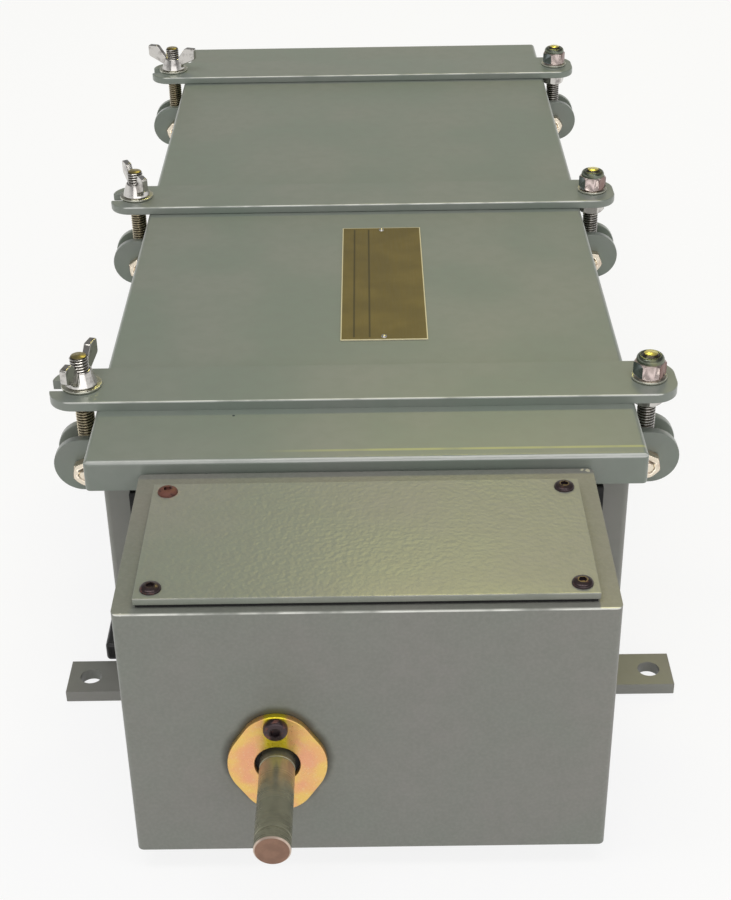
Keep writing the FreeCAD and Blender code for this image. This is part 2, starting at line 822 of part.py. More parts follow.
def cam(index):
    """One cam on its hub: a long round dwell and a lower one between two short ramps."""
    y = cam_rows[index]
    low = cam_radius - cam_lift
    start = dwell_start_deg
    finish = start + dwell_span_deg + dwell_step_deg * (index * dwell_order % circuits)
    y0, y1 = y - cam_width / 2, y + cam_width / 2

    def point(radius, degrees):
        a = math.radians(degrees)
        return Vector(cam_x + radius * math.cos(a), y0, cam_z + radius * math.sin(a))

    a, b = start - cam_ramp_deg, finish + cam_ramp_deg
    edges = [
        Part.LineSegment(point(cam_radius, a), point(low, start)).toShape(),
        Part.Arc(point(low, start), point(low, (start + finish) / 2), point(low, finish)).toShape(),
        Part.LineSegment(point(low, finish), point(cam_radius, b)).toShape(),
        Part.Arc(point(cam_radius, b), point(cam_radius, (a + b) / 2 + 180), point(cam_radius, a)).toShape(),
    ]
    disc = Part.Face(Part.Wire(edges)).extrude(Vector(0, y1 - y0, 0))
    ends = (cam_x, y - cam_hub / 2, cam_z), (cam_x, y + cam_hub / 2, cam_z)
    return disc.fuse(rod(cam_hub_d / 2, *ends)).cut(rod(camshaft_d / 2 + fit_gap, *ends))


def cam_sleeves():
    """Sleeves that space the cams along the shaft and stop short of the two bushings."""
    hub = cam_hub / 2
    stop = bracket_y - bracket_thickness / 2 - bushing_flange - sleeve_end_gap
    starts = [-stop] + [y + hub for y in cam_rows]
    ends = [y - hub for y in cam_rows] + [stop]
    bore = camshaft_d / 2 + fit_gap
    return [tube(sleeve_d / 2, bore, (cam_x, a, cam_z), (cam_x, b, cam_z)) for a, b in zip(starts, ends)]


def camshaft_bushing(end):
    """A flanged bushing whose flange faces the cams."""
    face = end * (bracket_y - bracket_thickness / 2)
    front = (cam_x, face - end * bushing_flange, cam_z)
    back = (cam_x, end * (bracket_y + bracket_thickness / 2), cam_z)
    flange = rod(bushing_flange_d / 2, (cam_x, face, cam_z), front)
    sleeve = rod(camshaft_bushing_d / 2, (cam_x, face, cam_z), back)
    return flange.fuse(sleeve).cut(rod(camshaft_d / 2 + running_gap, front, back))


def bearing_bracket(end):
    """An angle bracket on the floor that carries a camshaft bushing and the switch rail."""
    y0, y1 = sorted((end * (bracket_y - bracket_thickness / 2), end * (bracket_y + bracket_thickness / 2)))
    x0, x1 = cam_x - bracket_side, rail_x + rail_thickness
    plate = block(x0, x1, y0, y1, sheet, max(cam_z + bracket_rise, switch_top))
    foot_end = y0 - bracket_foot if end > 0 else y1 + bracket_foot
    foot = block(x0, x1, min(y0, foot_end), max(y1, foot_end), sheet, sheet + bracket_thickness / 2)
    bore = rod(camshaft_bushing_d / 2 + fit_gap, (cam_x, y0, cam_z), (cam_x, y1, cam_z))
    return plate.fuse(foot).removeSplitter().cut(bore)


def switch_rail():
    reach = bracket_y - bracket_thickness / 2
    rail = block(rail_x, rail_x + rail_thickness, -reach, reach, switch_bottom, switch_top)
    return rail.cut(Part.makeCompound([switch_screw_shank(y, z) for y, z in switch_screw_places()]))


def switch_screw_places():
    low, high = switch_bottom + switch_screw_inset, switch_top - switch_screw_inset
    return [(y, z) for y in cam_rows for z in (low, high)]


def switch_screw_shank(y, z):
    gap = switch_screw_d / 2 + thread_gap
    return rod(gap, (switch_face, y, z), (rail_x + rail_thickness, y, z))


def snap_switch(y):
    """A switch body with its plunger and the lug and pin that the lever turns on."""
    side = switch_width / 2
    body = block(switch_face, rail_x, y - side, y + side, switch_bottom, switch_top)
    lug_y = y - roller_width / 2, y + roller_width / 2
    lug = block(roller_x, switch_face, *lug_y, pivot_z - pivot_pin_d, pivot_z + pivot_pin_d)
    lug = lug.fuse(rod(pivot_pin_d, (roller_x, lug_y[0], pivot_z), (roller_x, lug_y[1], pivot_z)))
    pin = rod(pivot_pin_d / 2, (roller_x, y - cheek_outer, pivot_z), (roller_x, y + cheek_outer, pivot_z))
    tip = lever_back + plunger_gap
    plunger_z = pivot_z + plunger_at
    plunger = rod(plunger_d / 2, (tip, y, plunger_z), (switch_face, y, plunger_z))
    body = body.fuse([lug, pin, plunger]).removeSplitter()
    screws = [switch_screw_shank(row, z) for row, z in switch_screw_places() if row == y]
    return body.cut(Part.makeCompound(screws))


def switch_screws():
    screws = []
    for y, z in switch_screw_places():
        head = rod(switch_screw_head_d / 2, (switch_face - switch_screw_head, y, z), (switch_face, y, z))
        shank = rod(switch_screw_d / 2, (switch_face, y, z), (rail_x + rail_thickness, y, z))
        screws.append(head.fuse(shank))
    return screws


def switch_lever(y):
    """A channel-shaped lever: two cheeks about the pin and the roller, with a web behind them."""
    half = lever_cheek_d / 2
    web_low, web_high = pivot_z + half + lever_web_gap, cam_z - roller_d / 2 - lever_web_gap
    cheeks = []
    for side in (-1, 1):
        y0, y1 = sorted((side * cheek_inner, side * cheek_outer))
        y0, y1 = y + y0, y + y1
        cheek = block(roller_x - half, roller_x + half, y0, y1, pivot_z, cam_z)
        for z in (pivot_z, cam_z):
            cheek = cheek.fuse(rod(half, (roller_x, y0, z), (roller_x, y1, z)))
        cheeks.append(cheek.fuse(block(roller_x, lever_back, y0, y1, web_low, web_high)))
    web = block(lever_back - lever_web, lever_back, y - cheek_outer, y + cheek_outer, web_low, web_high)
    arm = web.fuse(cheeks).removeSplitter()
    pin_ends = (roller_x, y - cheek_outer, pivot_z), (roller_x, y + cheek_outer, pivot_z)
    axle_ends = (roller_x, y - cheek_outer, cam_z), (roller_x, y + cheek_outer, cam_z)
    arm = arm.cut(rod(pivot_pin_d / 2 + running_gap, *pin_ends))
    arm = arm.cut(rod(pivot_pin_d / 2 + fit_gap, *axle_ends))
    axle = rod(pivot_pin_d / 2, *axle_ends)
    wide = roller_width / 2
    roller_ends = (roller_x, y - wide, cam_z), (roller_x, y + wide, cam_z)
    return [arm, axle, tube(roller_d / 2, pivot_pin_d / 2 + running_gap, *roller_ends)]


def terminal_rows():
    return [(i - (terminal_count - 1) / 2) * terminal_pitch for i in range(terminal_count)]


def terminal_strip():
    """A moulded base with a barrier on each side of every terminal."""
    x0, x1 = terminal_x - terminal_width / 2, terminal_x + terminal_width / 2
    reach = terminal_count * terminal_pitch / 2 + barrier_thickness / 2
    top = sheet + terminal_height
    strip = block(x0, x1, -reach, reach, sheet, top)
    ribs = []
    for i in range(terminal_count + 1):
        y = (i - terminal_count / 2) * terminal_pitch
        y0, y1 = y - barrier_thickness / 2, y + barrier_thickness / 2
        ribs.append(block(x0, x1, y0, y1, top, top + barrier_height))
    return strip.fuse(ribs).removeSplitter()


def terminal_screws():
    x, z, radius = terminal_x, sheet + terminal_height, terminal_screw_d / 2
    return [rod(radius, (x, y, z), (x, y, z + terminal_screw_head)) for y in terminal_rows()]


def build_clamps():
    left, right = -bolt_x, bolt_x
    rows = bar_rows.values()
    for row, y in bar_rows.items():
        save("clamp_bar_" + row, clamp_bar(y))
        save("swing_bolt_" + row, eye_bolt(-1, y, swing_bolt_rise))
        save("clamp_washer_" + row, washer(washer_d, left, y))
        save("wing_nut_" + row, wing_nut(row))
    save("bolt_ears", *bolt_ears())
    save("hinge_bolts", *[eye_bolt(1, y, hinge_bolt_rise) for y in rows])
    save("hinge_washers", *[washer(hinge_washer_d, right, y) for y in rows])
    save("hinge_lock_nuts", *[lock_nut(right, y) for y in rows])
    save("hinge_jam_nuts", *[jam_nut(right, y) for y in rows])
    save("pivot_bolts", *[pivot_bolt(side, y) for side in (-1, 1) for y in rows])
    save("pivot_nuts", *[pivot_nut(side, y) for side in (-1, 1) for y in rows])


def build_enclosure():
    save("main_enclosure", main_enclosure())
    save("mounting_lugs", *mounting_lugs())
    save("lid_gasket", lid_gasket())
    save("lid", lid())
    save("rating_plate", rating_plate())
    save("plate_rivets", *plate_rivets())
    save("conduit_plug", conduit_plug())
    save("conduit_locknut", conduit_locknut())


def build_gear_housing():
    save("housing_spacer", housing_spacer())
    save("gear_housing", gear_housing())
    save("housing_bolts", *housing_bolts())
    save("housing_nuts", *housing_nuts())
    save("cover_gasket", cover_gasket())
    save("gear_cover", gear_cover())
    save("cover_screws", *cover_screws())
    save("shaft_retainer", shaft_retainer())
    save("retainer_screws", *retainer_screws())
    save("shaft_seal", shaft_seal())
    save("input_bushings", *input_bushings())
    save("input_shaft", input_shaft())
    save("input_pinion", input_pinion())
    save("cam_gear", cam_gear())


def build_switchgear():
    save("camshaft", camshaft())
    save("cams", *[cam(i) for i in range(circuits)])
    save("cam_sleeves", *cam_sleeves())
    save("camshaft_bushings", camshaft_bushing(-1), camshaft_bushing(1))
    save("bearing_bracket_front", bearing_bracket(-1))
    save("bearing_bracket_rear", bearing_bracket(1))
    save("switch_rail", switch_rail())
    save("snap_switches", *[snap_switch(y) for y in cam_rows])
    save("switch_screws", *switch_screws())
    for i, y in enumerate(cam_rows, 1):
        save("switch_lever_" + str(i), *switch_lever(y))
    save("terminal_strip", terminal_strip())
    save("terminal_screws", *terminal_screws())


os.makedirs("parts", exist_ok=True)
build_enclosure()
build_clamps()
build_gear_housing()
build_switchgear()
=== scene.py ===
"""The looks of a rotating cam limit switch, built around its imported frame."""

import json
import logging
import math
from contextlib import contextmanager
from dataclasses import dataclass
from enum import Enum
from typing import Callable, Iterable, Iterator, Optional, Sequence, Union

import bpy
from mathutils import Matrix, Vector


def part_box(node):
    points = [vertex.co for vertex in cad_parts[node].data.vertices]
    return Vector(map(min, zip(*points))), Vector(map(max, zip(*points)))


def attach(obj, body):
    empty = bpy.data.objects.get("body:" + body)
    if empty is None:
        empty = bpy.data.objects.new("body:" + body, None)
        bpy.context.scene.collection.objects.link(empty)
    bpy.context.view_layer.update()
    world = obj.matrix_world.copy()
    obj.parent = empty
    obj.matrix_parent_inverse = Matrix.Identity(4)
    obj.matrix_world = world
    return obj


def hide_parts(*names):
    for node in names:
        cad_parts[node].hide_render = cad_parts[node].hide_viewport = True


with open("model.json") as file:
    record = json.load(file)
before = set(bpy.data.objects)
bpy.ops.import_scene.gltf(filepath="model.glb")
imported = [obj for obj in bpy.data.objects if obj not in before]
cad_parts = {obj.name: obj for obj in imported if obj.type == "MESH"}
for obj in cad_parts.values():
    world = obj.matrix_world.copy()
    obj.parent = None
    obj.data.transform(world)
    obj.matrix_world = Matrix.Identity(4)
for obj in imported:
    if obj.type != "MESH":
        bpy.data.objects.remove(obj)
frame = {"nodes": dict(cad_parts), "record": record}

MM = 0.001
FULL_TURN = 2 * math.pi
PHOTO_HEIGHT_PX = 900
SENSOR_MM = 36.0

log = logging.getLogger("limit_switch")

Value = Union[float, tuple, "Signal"]
Colour = tuple[float, float, float]
Place = tuple[float, float, float]
Pair = tuple[float, float]
Piece = bpy.types.Object


class Signal:
    """A socket of a material, on which arithmetic adds Math nodes."""

    def __init__(self, graph: "Graph", socket: bpy.types.NodeSocket) -> None:
        """Keeps the socket and the graph that it belongs to."""
        self.graph = graph
        self.socket = socket

    def _math(self, operation: str, first: Value, second: Value = 0.0) -> "Signal":
        """Adds one Math node and returns its result."""
        return self.graph.add("ShaderNodeMath", {"operation": operation}, {0: first, 1: second})

    def __add__(self, other: Value) -> "Signal":
        """Adds a number or another signal."""
        return self._math("ADD", self, other)

    __radd__ = __add__

    def __sub__(self, other: Value) -> "Signal":
        """Takes a number or another signal away."""
        return self._math("SUBTRACT", self, other)

    def __rsub__(self, other: Value) -> "Signal":
        """Takes this signal away from a number."""
        return self._math("SUBTRACT", other, self)

    def __mul__(self, other: Value) -> "Signal":
        """Multiplies by a number or another signal."""
        return self._math("MULTIPLY", self, other)

    __rmul__ = __mul__

    def __truediv__(self, other: Value) -> "Signal":
        """Divides by a number or another signal."""
        return self._math("DIVIDE", self, other)

    def __pow__(self, other: Value) -> "Signal":
        """Raises to a power."""
        return self._math("POWER", self, other)

    def __abs__(self) -> "Signal":
        """Drops the sign."""
        return self._math("ABSOLUTE", self)

    def least(self, other: Value) -> "Signal":
        """Returns the smaller of the two."""
        return self._math("MINIMUM", self, other)

    def most(self, other: Value) -> "Signal":
        """Returns the larger of the two."""
        return self._math("MAXIMUM", self, other)

    def length(self, other: "Signal") -> "Signal":
        """Returns the length of a way whose parts at right angles are the two."""
        return (self * self + other * other) ** 0.5


class Graph:
    """The nodes of one material."""

    def __init__(self, tree: bpy.types.NodeTree) -> None:
        """Starts with an empty tree."""
        self.tree = tree
        tree.nodes.clear()

    def add(
        self,
        kind: str,
        settings: Optional[dict] = None,
        sockets: Optional[dict] = None,
        output: Union[int, str] = 0,
    ) -> Signal:
        """Adds a node.

        Args:
            kind: The node's type, such as ShaderNodeMath.
            settings: What is set first, such as an operation.
            sockets: Values or signals by the input's name or number.
            output: The name or number of the output that is returned.

        Returns:
            The output as a signal.
        """
        node = self.tree.nodes.new(kind)
        for name, setting in (settings or {}).items():
            setattr(node, name, setting)
        for name, value in (sockets or {}).items():
            if isinstance(value, Signal):
                self.tree.links.new(value.socket, node.inputs[name])
            else:
                node.inputs[name].default_value = value
        return Signal(self, node.outputs[output] if node.outputs else None)

    def vector(self, operation: str, sockets: dict, output: Union[int, str] = "Value") -> Signal:
        """Adds one Vector Math node and returns its result."""
        return self.add("ShaderNodeVectorMath", {"operation": operation}, sockets, output)

    def place(self) -> Signal:
        """Returns the object coordinates."""
        return self.add("ShaderNodeTexCoord", output="Object")

    def axes(self) -> tuple[Signal, ...]:
        """Returns the three object coordinates as separate signals, in metres."""
        parts = self.add("ShaderNodeSeparateXYZ", None, {0: self.place()}).socket.node.outputs
        return tuple(Signal(self, part) for part in parts)

    def noise(self, size: float, detail: float = 2.0, stretch: Optional[Place] = None) -> Signal:
        """Returns smooth noise.

        Args:
            size: The size of its patches, in metres.
            detail: How many finer layers it has.
            stretch: By how much the coordinates are scaled first, along each axis.

        Returns:
            The noise, from 0 to 1 about a half.
        """
        where = self.place()
        if stretch:
            sockets = {"Vector": where, "Scale": stretch}
            where = self.add("ShaderNodeMapping", {"vector_type": "POINT"}, sockets)
        sockets = {"Vector": where, "Scale": 1 / size, "Detail": detail, "Roughness": 0.5}
        return self.add("ShaderNodeTexNoise", None, sockets, "Fac")

    def blend(self, factor: Value, first: Union[Signal, Colour], second: Union[Signal, Colour]) -> Signal:
        """Mixes two colours by a factor from 0 to 1."""
        colours = [c if isinstance(c, Signal) else (*c, 1.0) for c in (first, second)]
        sockets = {0: factor, 6: colours[0], 7: colours[1]}
        settings = {"data_type": "RGBA", "clamp_factor": True}
        return self.add("ShaderNodeMix", settings, sockets, 2)

    def span(self, signal: Signal, low: float, high: float, start: float = 0.0, end: float = 1.0) -> Signal:
        """Maps low to start and high to end, and holds it there outside."""
        sockets = {"Value": signal, "From Min": low, "From Max": high, "To Min": start, "To Max": end}
        return self.add("ShaderNodeMapRange", {"interpolation_type": "SMOOTHSTEP"}, sockets)

    def window(self, signal: Signal, centre: float, reach: float, soft: float) -> Signal:
        """Returns 1 within a reach of a centre and 0 beyond it, over a soft edge, all in metres."""
        return self.span(abs(signal - centre), reach - soft / 2, reach + soft / 2, 1.0, 0.0)

    def tinted(
        self,
        under: Union[Signal, Colour],
        over: Colour,
        signal: Signal,
        low: float,
        high: float,
        most: float = 1.0,
    ) -> Signal:
        """Lays a colour over another.

        Args:
            under: The colour below.
            over: The colour above.
            signal: Where it lies.
            low: The signal's value from which on the colour begins to show.
            high: The value where it shows most.
            most: How much it shows there.

        Returns:
            The mixed colour.
        """
        return self.blend(self.span(signal, low, high, 0.0, most), under, over)

    def surface(
        self,
        colour: Signal,
        rough: Value,
        metal: Value = 0.0,
        relief: Optional[tuple[Signal, float]] = None,
        coat: Optional[Pair] = None,
    ) -> None:
        """Ends the material in a Principled shader.

        Args:
            colour: Its colour.
            rough: Its roughness.
            metal: How metallic it is.
            relief: A height from 0 to 1, and how many metres 1 stands for.
            coat: The weight and the roughness of its clear coat.
        """
        sockets = {"Base Color": colour, "Roughness": rough, "Metallic": metal}
        if relief:
            sockets["Normal"] = self.add("ShaderNodeBump", None, {"Height": relief[0], "Distance": relief[1]})
        if coat:
            sockets["Coat Weight"], sockets["Coat Roughness"] = coat
        shader = self.add("ShaderNodeBsdfPrincipled", None, sockets)
        self.add("ShaderNodeOutputMaterial", None, {"Surface": shader})


def shaded(colour: Colour, *factors: float) -> Colour:
    """Returns the colour times one factor, or times one for each part, at most white."""
    return tuple(min(1.0, part * factor) for part, factor in zip(colour, factors * 3))


@dataclass(frozen=True)
class Finish:
    """What every finish has: a name and a colour."""

    name: str
    colour: Colour

    def material(self) -> bpy.types.Material:
        """Returns the material of this finish, made at its first use."""
        name = self.name + "_look"
        if name not in bpy.data.materials:
            material = bpy.data.materials.new(name)
            material.use_nodes = True
            self.paint(Graph(material.node_tree))
        return bpy.data.materials[name]

    def paint(self, graph: Graph) -> None:
        """Fills the material's graph."""
        raise NotImplementedError


class FlawOrPaintedLight:
    """Something laid over the paint in a colour of its own: a defect of the paint, a painted highlight, a
    painted reflection or painted shade.
    """

    metal = 0.0

    def where(self, graph: Graph) -> Signal:
        """Returns where it lies: 1 on it and 0 off it."""
        raise NotImplementedError


@dataclass(frozen=True)
class Mark(FlawOrPaintedLight):
    """A small ragged spot: where it is and how far it reaches, in millimetres, and its colour."""

    place: Place
    reach: float
    colour: Colour = (0.60, 0.57, 0.42)
    ragged_size: float = 0.0024

    def where(self, graph: Graph) -> Signal:
        """Returns the spot, with an edge that noise breaks up."""
        centre = tuple(v * MM for v in self.place)
        distance = graph.vector("DISTANCE", {0: graph.place(), 1: centre})
        near = graph.span(distance, 0.0, self.reach * MM, 1.0, 0.0)
        ragged = (graph.noise(self.ragged_size, 3.0) - 0.5) * graph.span(near, 0.0, 0.3, 0.0, 2.0)
        return graph.span(near + ragged, 0.45, 0.6)


@dataclass(frozen=True)
class Scratch(FlawOrPaintedLight):
    """A thin straight scratch between two points, in millimetres."""

    start: Place
    end: Place
    reach: float = 0.5
    colour: Colour = (0.60, 0.60, 0.52)

    def where(self, graph: Graph) -> Signal:
        """Returns the line between the two points, half of its reach soft."""
        first, last = Vector(self.start) * MM, Vector(self.end) * MM
        way = last - first
        offset = graph.vector("SUBTRACT", {0: graph.place(), 1: tuple(first)}, "Vector")
        share = graph.vector("DOT_PRODUCT", {0: offset, 1: tuple(way)}) / way.length_squared
        foot = graph.vector("SCALE", {0: tuple(way), "Scale": share.most(0.0).least(1.0)}, "Vector")
        distance = graph.vector("DISTANCE", {0: offset, 1: foot})
        return graph.span(distance, self.reach * MM / 2, self.reach * MM, 1.0, 0.0)


@dataclass(frozen=True)
class EdgeWearAndHighlight(FlawOrPaintedLight):
    """A straight edge along X painted bright: a painted highlight line, with rubbed paint where it is given
    metal; its Y and Z in millimetres.
    """

    y: float
    z: float
    half_width: float = 0.9
    colour: Colour = (0.78, 0.78, 0.74)
    least: float = 0.35
    metal: float = 0.5
    fade: Pair = (-900.0, -899.0)
    streak_size: float = 0.02

    def where(self, graph: Graph) -> Signal:
        """Returns where the edge is painted bright, in streaks of changing width."""
        across, along, up = graph.axes()
        faded = graph.span(across, self.fade[0] * MM, self.fade[1] * MM)
        streaks = graph.noise(self.streak_size, 3.0, (1.0, 0.1, 0.1))
        strength = graph.span(streaks, 0.3, 0.6, self.least, 1.0)
        reach = self.half_width * MM
        near_y = graph.window(along, self.y * MM, reach, reach)
        near_z = graph.window(up, self.z * MM, reach, reach)
        return near_y * near_z * strength * faded


@dataclass(frozen=True)
class PaintedShade(FlawOrPaintedLight):
    """Painted shade round an oval plate on a face along X and Z: its centre, radii and half height, in
    millimetres.
    """

    centre: Pair
    side_radius: float
    end_radius: float
    half_height: float
    reach: float = 4.0
    strength: float = 0.72
    colour: Colour = (0.022, 0.024, 0.014)
    ragged_size: float = 0.006
    ragged_depth: float = 0.0015

    def where(self, graph: Graph) -> Signal:
        """Returns how much painted shade lies round the plate: most at its rim and 0 from the reach on."""
        across, _, up = graph.axes()
        across = across - self.centre[0] * MM
        up = up - self.centre[1] * MM
        beside = across.length(up) - self.side_radius * MM
        over = (abs(up) - (self.half_height - self.end_radius) * MM).most(0.0)
        ends = across.length(over) - self.end_radius * MM
        ragged = beside.least(ends) + (graph.noise(self.ragged_size) - 0.5) * self.ragged_depth
        return graph.span(ragged, 0.0002, self.reach * MM, 1.0, 0.0) * self.strength


@dataclass(frozen=True)
class Enamel(Finish):
    """Grey-green sprayed enamel: orange peel, faint clouds, defects and painted highlights and shade; sizes
    are in metres.
    """

    roughness: float = 0.32
    coat: float = 0.4
    coat_roughness: float = 0.14
    cloud_size: float = 0.07
    mottle_size: float = 0.008
    peel_size: float = 0.003
    peel_depth: float = 0.00005
    grain: float = 0.0
    grain_size: float = 0.0016
    flaws_and_painted_light: tuple[FlawOrPaintedLight, ...] = ()

    def paint(self, graph: Graph) -> None:
        """Makes a clouded colour, a peel relief, and the defects and painted light laid over it in their
        order.
        """
        cloud = graph.noise(self.cloud_size, 3.0)
        greener, pinker = shaded(self.colour, 0.95, 0.99, 0.97), shaded(self.colour, 1.05, 1.01, 1.04)
        tint = graph.tinted(greener, pinker, cloud, 0.35, 0.65)
        tint = graph.tinted(tint, shaded(self.colour, 0.93), graph.noise(self.mottle_size), 0.35, 0.7, 0.5)
        if self.grain:
            grain = graph.noise(self.grain_size)
            tint = graph.tinted(tint, shaded(self.colour, 1.35), grain, 0.35, 0.7, self.grain)
        metal: Value = 0.0
        for overlay in self.flaws_and_painted_light:
            where = overlay.where(graph)
            tint = graph.blend(where, tint, overlay.colour)
            if overlay.metal:
                metal = where * overlay.metal + metal
        peel = graph.noise(self.peel_size, 1.5)
        rough = graph.span(cloud, 0.3, 0.7, self.roughness - 0.03, self.roughness + 0.04)
        graph.surface(tint, rough, metal, (peel, self.peel_depth), (self.coat, self.coat_roughness))


@dataclass(frozen=True)
class Plating(Finish):
    """Bright or dull plated steel; sizes are in metres."""

    roughness: float = 0.24
    stain: Colour = (0.35, 0.28, 0.18)
    stained: float = 0.15
    cloud_size: float = 0.005
    scratch_size: float = 0.0006
    scratch_depth: float = 0.00001

    def paint(self, graph: Graph) -> None:
        """Makes metal with faint stains and fine scratches."""
        cloud = graph.noise(self.cloud_size, 3.0)
        scratch = graph.noise(self.scratch_size, 2.0, (1.0, 1.0, 6.0))
        tint = graph.tinted(self.colour, self.stain, cloud, 0.5, 0.75, self.stained)
        uneven = cloud + (scratch - 0.5) * 0.4
        rough = graph.span(uneven, 0.3, 0.7, self.roughness - 0.06, self.roughness + 0.10)
        graph.surface(tint, rough, 1.0, (scratch, self.scratch_depth))


@dataclass(frozen=True)
class Chromate(Finish):
    """Yellow chromate over zinc: gold, pink beside the bore, a painted yellow reflection of the shaft above
    it; all in metres.
    """

    bore: Pair = (-0.0403, 0.0655)
    pink: Colour = (0.84, 0.41, 0.23)
    gold: Colour = (0.86, 0.57, 0.17)
    yellow: Colour = (0.95, 0.80, 0.02)
    pale: Colour = (0.95, 0.82, 0.50)
    pink_ring: tuple[float, float, float] = (0.0128, 0.0046, 0.005)
    pink_across: Pair = (0.006, 0.011)
    reflection_across: Pair = (0.0035, 0.0062)
    reflection_up: Pair = (0.004, 0.009)
    wave_size: float = 0.011
    fine_size: float = 0.0011
    fine_depth: float = 0.000012

    def paint(self, graph: Graph) -> None:
        """Makes the zones about the bore, the painted reflection among them, broken up by noise."""
        across, _, up = graph.axes()
        across = abs(across - self.bore[0])
        up = up - self.bore[1]
        wave = graph.noise(self.wave_size, 2.5)
        fine = graph.noise(self.fine_size)
        tint = graph.tinted(self.gold, self.colour, wave, 0.40, 0.60)
        beside = graph.window(across.length(up), *self.pink_ring) * graph.span(across, *self.pink_across)
        tint = graph.blend(beside * graph.span(wave, 0.3, 0.6, 0.5, 1.0), tint, self.pink)
        # painted reflection: the shaft's bright yellow reflection above the bore
        above = graph.span(across, *self.reflection_across, 1.0, 0.0) * graph.span(up, *self.reflection_up)
        tint = graph.blend(above * 0.85, tint, self.yellow)
        tint = graph.tinted(tint, self.pale, fine, 0.55, 0.75, 0.25)
        graph.surface(tint, graph.span(fine, 0.3, 0.7, 0.27, 0.36), 0.85, (fine, self.fine_depth))


@dataclass(frozen=True)
class TurnedSteel(Finish):
    """Steel turned and ground about an axis along Y, with an oil film; places and sizes are in metres."""

    roughness: float = 0.24
    end_place: float = -0.4697
    end_reach: Pair = (0.0001, 0.0002)
    lip_reach: Pair = (0.0007, 0.0010)
    end_colour: Colour = (0.25, 0.145, 0.10)
    lip_colour: Colour = (0.62, 0.49, 0.40)
    ring_size: float = 0.0030
    cloud_size: float = 0.007

    def paint(self, graph: Graph) -> None:
        """Makes fine rings along the shaft and a copper-brown end."""
        rings = graph.noise(self.ring_size, 1.5, (0.02, 1.0, 0.02))
        cloud = graph.noise(self.cloud_size, 3.0)
        _, along, _ = graph.axes()
        end, lip = (
            graph.span(along, self.end_place + near, self.end_place + far, 1.0, 0.0)
            for near, far in (self.end_reach, self.lip_reach)
        )
        tint = graph.tinted(self.colour, shaded(self.colour, 0.75), cloud, 0.35, 0.7)
        tint = graph.tinted(tint, shaded(self.colour, 1.4), rings, 0.5, 0.8, 0.08)
        face = graph.tinted(self.end_colour, shaded(self.end_colour, 1.2), cloud, 0.4, 0.6)
        tint = graph.blend(lip, tint, self.lip_colour)
        tint = graph.blend(end, tint, face)
        rough = graph.span(rings, 0.3, 0.7, self.roughness - 0.03, self.roughness + 0.05)
        graph.surface(tint, rough + end * 0.2, 0.6)


@dataclass(frozen=True)
class BlackOxide(Finish):
    """Blackened steel, with as much rust as asked for; sizes are in metres."""

    rust: float = 0.2
    rust_colour: Colour = (0.17, 0.062, 0.045)
    patch_size: float = 0.0022
    patch_depth: float = 0.00006

    def paint(self, graph: Graph) -> None:
        """Makes the oxide and the rust that shows through it."""
        patches = graph.noise(self.patch_size, 3.0)
        rust = graph.span(patches, 0.62 - self.rust * 0.5, 0.80 - self.rust * 0.5)
        tint = graph.blend(rust, self.colour, self.rust_colour)
        rough, metal = graph.span(rust, 0.0, 1.0, 0.30, 0.62), graph.span(rust, 0.0, 1.0, 0.7, 0.25)
        graph.surface(tint, rough, metal, (patches, self.patch_depth))


@dataclass(frozen=True)
class Moulding(Finish):
    """Rubber or moulded plastic; sizes are in metres."""

    roughness: float = 0.6
    pores: float = 0.0015
    pore_depth: float = 0.00006
    cloud_size: float = 0.03

    def paint(self, graph: Graph) -> None:
        """Makes a matt, slightly pored surface."""
        pores = graph.noise(self.pores)
        tint = graph.tinted(self.colour, shaded(self.colour, 1.35), graph.noise(self.cloud_size), 0.3, 0.7)
        rough = graph.span(pores, 0.3, 0.7, self.roughness - 0.06, self.roughness + 0.08)
        graph.surface(tint, rough, 0.0, (pores, self.pore_depth))


@dataclass(frozen=True)
class PlateBrass(Finish):
    """Olive-brown etched sheet for the rating plate, bare but for its two ruled lines; all in metres."""

    centre: Pair = (0.0, 0.0)
    size: Pair = (0.0466, 0.144)
    edge_colour: Colour = (0.72, 0.66, 0.46)
    edge_reach: Pair = (-0.00080, -0.00040)
    line: float = 0.0005
    margin: float = 0.00275
    rules: Pair = (-0.345, -0.165)
    brush_size: float = 0.0008
    brush_depth: float = 0.00001
    cloud_size: float = 0.02

    def paint(self, graph: Graph) -> None:
        """Makes a brushed sheet with two ruled lines and a bright band along its edges."""
        across, along, _ = graph.axes()
        across = across - self.centre[0]
        along = along - self.centre[1]
        brushed = graph.noise(self.brush_size, 2.0, (1.0, 0.04, 1.0))
        cloud = graph.noise(self.cloud_size, 2.5)
        tint = graph.tinted(shaded(self.colour, 0.85), shaded(self.colour, 1.13), cloud, 0.3, 0.7)
        tint = graph.tinted(tint, shaded(self.colour, 1.35), brushed, 0.45, 0.8, 0.3)
        left, right = (
            graph.window(across, share * self.size[0], self.line, self.line) for share in self.rules
        )
        ruled = left.most(right) * graph.window(along, 0.0, self.size[1] / 2 - self.margin, self.line)
        tint = graph.blend(ruled * 0.8, tint, shaded(self.colour, 0.22))
        edge = (abs(across) - self.size[0] / 2).most(abs(along) - self.size[1] / 2)
        tint = graph.tinted(tint, self.edge_colour, edge, *self.edge_reach)
        rough = graph.span(brushed, 0.3, 0.7, 0.42, 0.50)
        graph.surface(tint, rough, 0.25, (brushed - ruled * 0.5, self.brush_depth))


GREY_GREEN: Colour = (0.226, 0.256, 0.222)
# the white of the painted highlights on the clamp bars' edges
EDGE_HIGHLIGHT_WHITE: Colour = (0.80, 0.82, 0.78)
WHITE_CHIP: Colour = (0.80, 0.80, 0.74)

